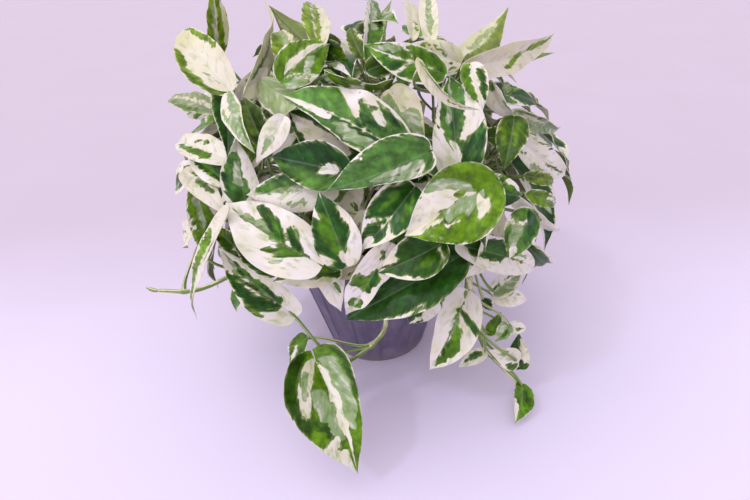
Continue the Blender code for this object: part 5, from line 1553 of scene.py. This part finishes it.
def join(tree: Tree, node: bpy.types.Node, inputs: dict) -> None:
    """Gives a node's sockets what each has, by name or number: a value of its own or a socket's link."""
    for key, value in inputs.items():
        if isinstance(value, Socket):
            tree.links.new(value, node.inputs[key])
        else:
            node.inputs[key].default_value = value


def add_node(tree: Tree, kind: str, inputs: dict, output: object = 0, **settings: object) -> Socket:
    """Adds a node to a material.

    Args:
        tree: the material's nodes.
        kind: the node's type.
        inputs: by name or number, a value or the socket that it is linked to.
        output: the name or number of the socket that is wanted.
        settings: the node's own options.

    Returns:
        That output socket."""
    new = tree.nodes.new(kind)
    for key, value in settings.items():
        setattr(new, key, value)
    join(tree, new, inputs)
    return new.outputs[output]


def new_material(name: str) -> tuple:
    """An empty material and its nodes, with the shader that it starts with."""
    material = bpy.data.materials.new(name)
    material.use_nodes = True
    return material, material.node_tree, material.node_tree.nodes["Principled BSDF"]


def layered(tree: Tree, base: object, layers: tuple, how: str = "MIX") -> Socket:
    """Lays colours over a first one, in order.

    Args:
        tree: the material's nodes.
        base: the first colour, as a value or a socket.
        layers: pairs of a share and the colour that is laid over by that share.
        how: the way in which they blend.

    Returns:
        The socket with the colour that comes of it."""
    colour = base
    for share, over in layers:
        inputs = {0: share, 6: colour, 7: over}
        colour = add_node(tree, "ShaderNodeMix", inputs, 2, data_type="RGBA", blend_type=how)
    return colour


@dataclass(frozen=True)
class LeafTissue:
    """Pothos leaf: living tissue with a smooth waxy cuticle. The wax gives a soft clear sheen over colour
    that lies in the tissue, so patches have feathered edges and no relief of their own. Clouds are 11 mm
    wide, blotches 4 mm and the grain 0.7 mm, coarser than a real leaf's cells, which wouldn't show."""

    # Cream is pinkish white, partly a painted reflection of the sky on lit cream. The yellower cream below it
    # serves random warm clouds and painted shade on shaded leaves.
    cream: str = "#e9e2df"
    cream_warm_and_shaded: str = "#cdc791"
    sage: str = "#8fa378"
    bright: str = "#4b7806"
    deep: str = "#1d4a07"
    bright_yellow: str = "#738f06"
    deep_yellow: str = "#445a03"
    bright_blue: str = "#4b7440"
    deep_blue: str = "#1d4626"
    tan: str = "#b09a5c"
    brown: str = "#6d4a22"
    underside: str = "#b3bc7f"
    halo: str = "#a8b76c"
    edge_blur: float = 0.28
    ragged: float = 0.75

    def material(self) -> bpy.types.Material:
        """The finish, which reads the marks, veins and tissue at each point of the leaf."""
        material, tree, shader = new_material("pothos_leaf_waxy_cuticle")
        marks, veins, tissue = (
            add_node(tree, HELD, {}, "Vector", attribute_name=name) for name in Piece.ATTRIBUTES
        )
        place = add_node(tree, COORDINATES, {}, "Object")
        under, tone, age = add_node(tree, SPLIT, {0: tissue}).node.outputs
        cream_share, sage_share, bright_share, halo_share = self.patches(tree, marks, veins)
        yellow = add_node(tree, MATHS, {0: tone, 1: 0.0}, operation="MAXIMUM")
        opposite = add_node(tree, MATHS, {0: tone, 1: -1.0}, **TIMES)
        blue = add_node(tree, MATHS, {0: opposite, 1: 0.0}, operation="MAXIMUM")
        deep, bright = (
            layered(tree, linear(middle), ((yellow, linear(warm)), (blue, linear(cold))))
            for middle, warm, cold in (
                (self.deep, self.deep_yellow, self.deep_blue),
                (self.bright, self.bright_yellow, self.bright_blue),
            )
        )
        cloud = add_node(tree, NOISE, {"Vector": place, "Scale": 90.0, "Detail": 3.0}, "Fac")
        mottle = self.along_veins(tree, veins, (1.5, 0.22, 3.0), 3.0)
        pale_spots = add_node(tree, RAMP, {0: mottle, 1: 0.5, 2: 0.66, 3: 0.0, 4: 0.5}, **EASED)
        green_spots = add_node(tree, RAMP, {0: mottle, 1: 0.46, 2: 0.34, 3: 0.0, 4: 0.55}, **EASED)
        sage = layered(tree, linear(self.sage), ((pale_spots, linear(self.cream)), (green_spots, bright)))
        streaks = self.along_veins(tree, veins, (0.8, 0.14, 5.0), 4.0)
        shade = add_node(tree, RAMP, {0: streaks, 1: 0.3, 2: 0.7, 3: 0.58, 4: 1.42})
        blotch = add_node(tree, NOISE, {"Vector": place, "Scale": 260.0, "Detail": 4.0}, "Fac")
        blotch = add_node(tree, RAMP, {0: blotch, 1: 0.3, 2: 0.7, 3: 0.62, 4: 1.44})
        broad = add_node(tree, RAMP, {0: cloud, 1: 0.3, 2: 0.7, 3: 0.72, 4: 1.26})
        green = layered(tree, deep, ((bright_share, bright),))
        green = layered(tree, green, ((1.0, shade), (1.0, blotch), (1.0, broad)), "MULTIPLY")
        halo = add_node(tree, MATHS, {0: halo_share, 1: 0.5}, **TIMES)
        # The cream yellows in random clouds and with the leaf's yellow tone: on leaves in shade this
        # yellowing is painted shade.
        warm = add_node(tree, RAMP, {0: cloud, 1: 0.42, 2: 0.72, 3: 0.0, 4: 0.45})
        warm = add_node(tree, MATHS, {0: yellow, 1: 0.45, 2: warm}, operation="MULTIPLY_ADD", use_clamp=True)
        fleck = layered(tree, sage, ((0.6, linear(self.halo)),))
        layers = ((warm, linear(self.cream_warm_and_shaded)), (self.flecks(tree, marks, veins), fleck))
        cream = layered(tree, linear(self.cream), layers)
        layers = ((sage_share, sage), (halo, linear(self.halo)), (cream_share, cream))
        colour = layered(tree, green, layers)
        colour = self.veined(tree, colour, veins, bright, cream_share)
        aged = add_node(tree, MATHS, {0: age, 1: 0.7}, **TIMES)
        colour = layered(tree, colour, ((aged, linear(self.tan)),), "MULTIPLY")
        speck = self.along_veins(tree, veins, (5.0, 1.6, 4.0), 1.0)
        speck = add_node(tree, RAMP, {0: speck, 1: 0.71, 2: 0.74})
        speck = add_node(tree, MATHS, {0: speck, 1: age}, **TIMES)
        pale = add_node(tree, RAMP, {0: cream_share, 3: 0.3, 4: 0.2})
        pale = add_node(tree, MATHS, {0: under, 1: pale}, **TIMES)
        colour = layered(tree, colour, ((speck, linear(self.brown)), (pale, linear(self.underside))))
        matte = add_node(tree, RAMP, {0: under, 3: 0.34, 4: 0.6})
        uneven = add_node(tree, RAMP, {0: cloud, 3: -0.08, 4: 0.1})
        rough = add_node(tree, MATHS, {0: matte, 1: uneven}, operation="ADD")
        grain = add_node(tree, NOISE, {"Vector": place, "Scale": 1500.0, "Detail": 2.0}, "Fac")
        net = self.along_veins(tree, veins, (5.0, 0.8, 7.0), 2.0)
        height = add_node(tree, MATHS, {0: grain, 1: 0.25, 2: net}, operation="MULTIPLY_ADD")
        bump = {"Strength": 0.45, "Distance": 0.16 * MM, "Height": height}
        join(tree, shader, {
            "Base Color": colour, "Roughness": rough, "Normal": add_node(tree, BUMP, bump, "Normal"),
            "IOR": 1.45, "Specular IOR Level": 0.25, "Coat Weight": 0.05, "Coat Roughness": 0.18,
            "Subsurface Weight": 0.18, "Subsurface Radius": (0.7, 1.0, 0.15), "Subsurface Scale": 1.0 * MM,
        })
        return material

    def along_veins(self, tree: Tree, veins: object, scale: tuple, detail: float) -> object:
        """Noise that is fine from vein to vein and long along each one.

        Args:
            tree: the material's nodes.
            veins: the socket with the vein number, the distance from the midrib and the leaf's seed.
            scale: how fine the noise is along each of the three.
            detail: how many finer noises are added to it.

        Returns:
            The socket with the noise, about 0.5."""
        stretched = add_node(tree, SCALED, {0: veins, 1: scale}, **TIMES)
        return add_node(tree, NOISE, {"Vector": stretched, "Scale": 1.0, "Detail": detail}, "Fac")

    def patches(self, tree: Tree, marks: object, veins: object) -> tuple:
        """How much of cream, sage, bright green and the cream's pale halo shows.

        Each is its patch's signed distance, with an edge that is feathered along the veins.

        Args:
            tree: the material's nodes.
            marks: the socket with the three signed distances in millimetres.
            veins: the socket that the feathering runs along.

        Returns:
            Four sockets, each from 0 to 1."""
        noise = self.along_veins(tree, veins, (2.4, 0.2, 9.0), 3.0)
        cream, sage, bright = add_node(tree, SPLIT, {0: marks}).node.outputs
        blur = self.edge_blur
        shares = []
        for distance, swing, shift, soft in (
            (cream, self.ragged, 0.0, blur), (sage, -self.ragged, 0.0, 2.5 * blur),
            (bright, 1.5 * self.ragged, 0.0, 6.0 * blur), (cream, 2.0 * self.ragged, 0.5, 4.0 * blur),
        ):
            moved = add_node(tree, RAMP, {0: noise, 1: 0.25, 2: 0.75, 3: shift - swing, 4: shift + swing})
            moved = add_node(tree, MATHS, {0: distance, 1: moved}, operation="ADD")
            shares.append(add_node(tree, RAMP, {0: moved, 1: -soft, 2: soft}, **EASED))
        return tuple(shares)

    def flecks(self, tree: Tree, marks: object, veins: object) -> object:
        """How much green shows as faint flecks in the cream: most within a few millimetres of green tissue.

        Args:
            tree: the material's nodes.
            marks: the socket whose first number is the distance inside the cream, in millimetres.
            veins: the socket that the flecks run along.

        Returns:
            The socket with the share."""
        cream = add_node(tree, SPLIT, {0: marks})
        fleck = self.along_veins(tree, veins, (1.3, 0.3, 2.0), 4.0)
        fleck = add_node(tree, RAMP, {0: fleck, 1: 0.5, 2: 0.72, 3: 0.0, 4: 0.75}, **EASED)
        near = add_node(tree, RAMP, {0: cream, 1: 9.0, 2: 1.0, 3: 0.45, 4: 1.0})
        return add_node(tree, MATHS, {0: fleck, 1: near}, **TIMES)

    def veined(
        self, tree: Tree, colour: object, veins: object, green: object, cream_share: object
    ) -> object:
        """The pale midrib and the faint lines of the side veins, laid over the colour.

        Args:
            tree: the material's nodes.
            colour: the socket with the colour so far.
            veins: the socket with the vein number and the distance from the midrib in millimetres.
            green: the socket with the bright green that the veins are mixed from.
            cream_share: the socket that says how creamy the tissue is.

        Returns:
            The socket with the colour."""
        vein, offset, _ = add_node(tree, SPLIT, {0: veins}).node.outputs
        aside = add_node(tree, MATHS, {0: offset}, operation="ABSOLUTE")
        rib = add_node(tree, RAMP, {0: aside, 1: 0.8, 2: 0.1}, **EASED)
        wave = add_node(tree, MATHS, {0: vein, 1: 0.5}, operation="PINGPONG")
        line = add_node(tree, RAMP, {0: wave, 1: 0.08, 2: 0.0, 3: 0.0, 4: 0.2}, **EASED)
        both = add_node(tree, MATHS, {0: line, 1: rib}, operation="MAXIMUM")
        strength = add_node(tree, RAMP, {0: cream_share, 3: 0.17, 4: 0.2})
        share = add_node(tree, MATHS, {0: both, 1: strength}, **TIMES)
        pale = layered(tree, green, ((0.4, linear(self.cream)),))
        return layered(tree, colour, ((share, pale),))


@dataclass(frozen=True)
class StalkTissue:
    """Pothos stem and petiole: smooth green skin, striped along with cream, the stem with corky patches of
    2 mm. Long fine streaks and a soft shine make it read as a juicy stalk."""

    green: str = "#5b7a2c"
    light: str = "#8ba05a"
    cream: str = "#d8d6ae"
    cork: str = "#7d6a3c"

    def material(self) -> bpy.types.Material:
        """The finish, which reads the length, angle and kind at each point of a stalk."""
        material, tree, shader = new_material("pothos_stalk_skin")
        veins, tissue = (
            add_node(tree, HELD, {}, "Vector", attribute_name=name) for name in ("veins", "tissue")
        )
        kind, shift, _ = add_node(tree, SPLIT, {0: tissue}).node.outputs
        place = add_node(tree, COORDINATES, {}, "Object")
        stretched = add_node(tree, SCALED, {0: veins, 1: (0.035, 1.1, 7.0)}, **TIMES)
        streak = add_node(tree, NOISE, {"Vector": stretched, "Scale": 1.0, "Detail": 3.0}, "Fac")
        moved = add_node(tree, MATHS, {0: shift, 1: 0.06, 2: streak}, operation="MULTIPLY_ADD")
        cream = add_node(tree, RAMP, {0: moved, 1: 0.55, 2: 0.6}, **EASED)
        light = add_node(tree, RAMP, {0: streak, 1: 0.35, 2: 0.6})
        cork = add_node(tree, NOISE, {"Vector": place, "Scale": 420.0, "Detail": 3.0}, "Fac")
        cork = add_node(tree, RAMP, {0: cork, 1: 0.58, 2: 0.68, 3: 0.0, 4: 0.5})
        only_stem = add_node(tree, RAMP, {0: kind, 1: 1.0, 2: 0.0})
        cork = add_node(tree, MATHS, {0: cork, 1: only_stem}, **TIMES)
        layers = ((light, linear(self.light)), (cream, linear(self.cream)), (cork, linear(self.cork)))
        bump = {"Strength": 0.4, "Distance": 0.1 * MM, "Height": streak}
        join(tree, shader, {
            "Base Color": layered(tree, linear(self.green), layers), "Roughness": 0.42, "IOR": 1.45,
            "Normal": add_node(tree, BUMP, bump, "Normal"), "Subsurface Weight": 0.15,
            "Subsurface Radius": (0.6, 1.0, 0.3), "Subsurface Scale": 1.0 * MM,
        })
        return material


@dataclass(frozen=True)
class PotPlastic:
    """Polypropylene, injection moulded and thin: a matte violet-grey skin, paler in scuffs of 14 mm, with
    faint upright flow lines 6 mm wide and dust near the foot."""

    body: str = "#5a5169"
    worn: str = "#8a8096"
    dust: str = "#9a8f93"
    grain: float = 0.35 * MM

    def material(self) -> bpy.types.Material:
        """The finish, on Object coordinates."""
        material, tree, shader = new_material("pot_polypropylene_moulded")
        place = add_node(tree, COORDINATES, {}, "Object")
        upright = add_node(tree, "ShaderNodeMapping", {"Vector": place, "Scale": (160.0, 160.0, 9.0)})
        flow = add_node(tree, NOISE, {"Vector": upright, "Scale": 1.0, "Detail": 3.0}, "Fac")
        scuff = add_node(tree, NOISE, {"Vector": place, "Scale": 70.0, "Detail": 6.0}, "Fac")
        scuff = add_node(tree, RAMP, {0: scuff, 1: 0.52, 2: 0.72, 3: 0.0, 4: 0.55})
        streak = add_node(tree, RAMP, {0: flow, 1: 0.4, 2: 0.7, 3: 0.0, 4: 0.3})
        share = add_node(tree, MATHS, {0: scuff, 1: streak}, operation="MAXIMUM")
        height = add_node(tree, SPLIT, {0: place}, 2)
        low = add_node(tree, RAMP, {0: height, 1: 14.0 * MM, 2: 0.0, 3: 0.0, 4: 0.35})
        layers = ((share, linear(self.worn)), (low, linear(self.dust)))
        grit = add_node(tree, NOISE, {"Vector": place, "Scale": 1.0 / self.grain, "Detail": 2.0}, "Fac")
        bump = {"Strength": 0.25, "Distance": 0.1 * MM, "Height": grit}
        join(tree, shader, {
            "Base Color": layered(tree, linear(self.body), layers), "IOR": 1.49,
            "Roughness": add_node(tree, RAMP, {0: share, 3: 0.48, 4: 0.66}),
            "Normal": add_node(tree, BUMP, bump, "Normal"),
        })
        return material


@dataclass(frozen=True)
class PeatMix:
    """Peat with bark and a little grit: nearly black when damp, with 1.4 mm brown fibres and dull crumbs."""

    dark: str = "#1d1613"
    brown: str = "#4a3626"
    pale: str = "#8a7a63"

    def material(self) -> bpy.types.Material:
        """The finish, on Object coordinates, with each crumb's own shade."""
        material, tree, shader = new_material("potting_mix_peat_and_bark")
        place = add_node(tree, COORDINATES, {}, "Object")
        tissue = add_node(tree, HELD, {}, "Vector", attribute_name="tissue")
        crumb = add_node(tree, SPLIT, {0: tissue})
        fibre = add_node(tree, NOISE, {"Vector": place, "Scale": 700.0, "Detail": 5.0}, "Fac")
        share = add_node(tree, RAMP, {0: fibre, 1: 0.45, 2: 0.75})
        bark = add_node(tree, RAMP, {0: crumb, 1: 0.7, 2: 0.95, 3: 0.0, 4: 0.6})
        layers = ((share, linear(self.brown)), (bark, linear(self.pale)))
        bump = {"Strength": 0.8, "Distance": 0.5 * MM, "Height": fibre}
        join(tree, shader, {
            "Base Color": layered(tree, linear(self.dark), layers), "Roughness": 0.92,
            "Normal": add_node(tree, BUMP, bump, "Normal"),
        })
        return material


@dataclass(frozen=True)
class Water:
    """Clear water: no colour of its own, so only its bright glint and the bent light below show."""

    ior: float = 1.333

    def material(self) -> bpy.types.Material:
        """The finish, with a very slight unevenness of its surface."""
        material, tree, shader = new_material("water_clear")
        place = add_node(tree, COORDINATES, {}, "Object")
        ripple = add_node(tree, NOISE, {"Vector": place, "Scale": 300.0, "Detail": 1.0}, "Fac")
        bump = {"Strength": 0.1, "Distance": 0.1 * MM, "Height": ripple}
        join(tree, shader, {
            "Base Color": (1.0, 1.0, 1.0, 1.0), "Roughness": 0.02, "IOR": self.ior,
            "Transmission Weight": 1.0, "Normal": add_node(tree, BUMP, bump, "Normal"),
        })
        return material


@dataclass(frozen=True)
class Studio:
    """A pale table under a wide soft light from the upper left, and the even light of a room."""

    table: str = "#e6daf8"
    table_back: str = "#ccbdd2"
    air: str = "#f0ebf0"
    air_strength: float = 0.93
    window_from: tuple = (-0.62, -0.42, 1.0)
    suns: tuple = (("window", 1.45, 84.0, "#fffaf4"), ("glint", 0.36, 5.0, "#dbe8ff"))
    reach: float = 6.0

    def floor(self) -> None:
        """The table top: a wide flat surface with painted light, paler in front as if the window lit it and
        darker towards the back.
        """
        material, tree, shader = new_material("table_laminate")
        place = add_node(tree, COORDINATES, {}, "Object")
        cloud = add_node(tree, NOISE, {"Vector": place, "Scale": 9.0, "Detail": 2.0}, "Fac")
        shade = add_node(tree, RAMP, {0: cloud, 3: 0.97, 4: 1.03})
        depth = add_node(tree, SPLIT, {0: place}, 1)
        # Painted light: the table fades from the pale front to the darker back colour.
        back = add_node(tree, RAMP, {0: depth, 1: -0.1, 2: 0.25}, **EASED)
        colour = layered(tree, linear(self.table), ((back, linear(self.table_back)),))
        colour = layered(tree, colour, ((1.0, shade),), "MULTIPLY")
        join(tree, shader, {"Base Color": colour, "Roughness": 0.6})
        mesh = bpy.data.meshes.new("table")
        corners = [(x * self.reach, y * self.reach, 0.0) for x, y in ((-1, -1), (1, -1), (1, 1), (-1, 1))]
        mesh.from_pydata(corners, [], [(0, 1, 2, 3)])
        mesh.materials.append(material)
        item = shown("table", mesh)

    def light(self) -> None:
        """The window, its bright middle and the even light of the room."""
        for name, strength, breadth, colour in self.suns:
            data = bpy.data.lights.new(name, "SUN")
            data.energy = strength
            data.angle = math.radians(breadth)
            data.color = linear(colour)[:3]
            item = shown(name, data)
            item.rotation_euler = Vector(self.window_from).to_track_quat("Z", "Y").to_euler()
        world = bpy.data.worlds.new("room")
        world.use_nodes = True
        back = world.node_tree.nodes["Background"]
        join(world.node_tree, back, {"Color": linear(self.air), "Strength": self.air_strength})
        bpy.context.scene.world = world
        bpy.context.scene.view_settings.view_transform = "Standard"


def leaf_rows(canopy: Canopy) -> dict:
    """Every placed leaf with its petiole, marking and seed, by vine.

    Args:
        canopy: the stems and the rule that places leaves.

    Returns:
        For each vine, its (blade, petiole, marking, seed) rows."""
    marbling = Marbling()
    rows = {key: [] for key in VINES}
    blades = [Blade.of_leaf(leaf) for leaf in LEAVES]
    blades += canopy.rule_blades(BESIDE_AND_BEHIND) + canopy.rule_blades(FILLERS)
    placed = canopy.place(blades)
    read = {leaf.name: leaf.marking for leaf in LEAVES}
    for index, (blade, petiole) in enumerate(placed):
        marking = read.get(blade.name) or marbling.marking()
        rows[blade.vine].append((blade, petiole, marking, (0.618034 * (index + 1)) % 1.0))
    LOG.info("%d leaves placed", len(placed))
    return rows


def main() -> None:
    """Builds the plant, its pot and the studio."""
    logging.basicConfig(level=logging.INFO, format="%(message)s")
    VIEW.camera()
    rows = leaf_rows(Canopy())
    leaf, stalk = LeafTissue().material(), StalkTissue().material()
    for key, leaves in rows.items():
        LeafyStem(key, leaves).build(leaf, stalk)
    Pot().build(PotPlastic().material())
    PottingMix().build(PeatMix().material())
    fine = {
        blade.name: FineBlade(blade, marking, seed)
        for leaves in rows.values()
        for blade, _, marking, seed in leaves
    }
    Dewdrops().build(fine, Water().material())
    studio = Studio()
    studio.floor()
    studio.light()


if __name__ == "__main__":
    main()
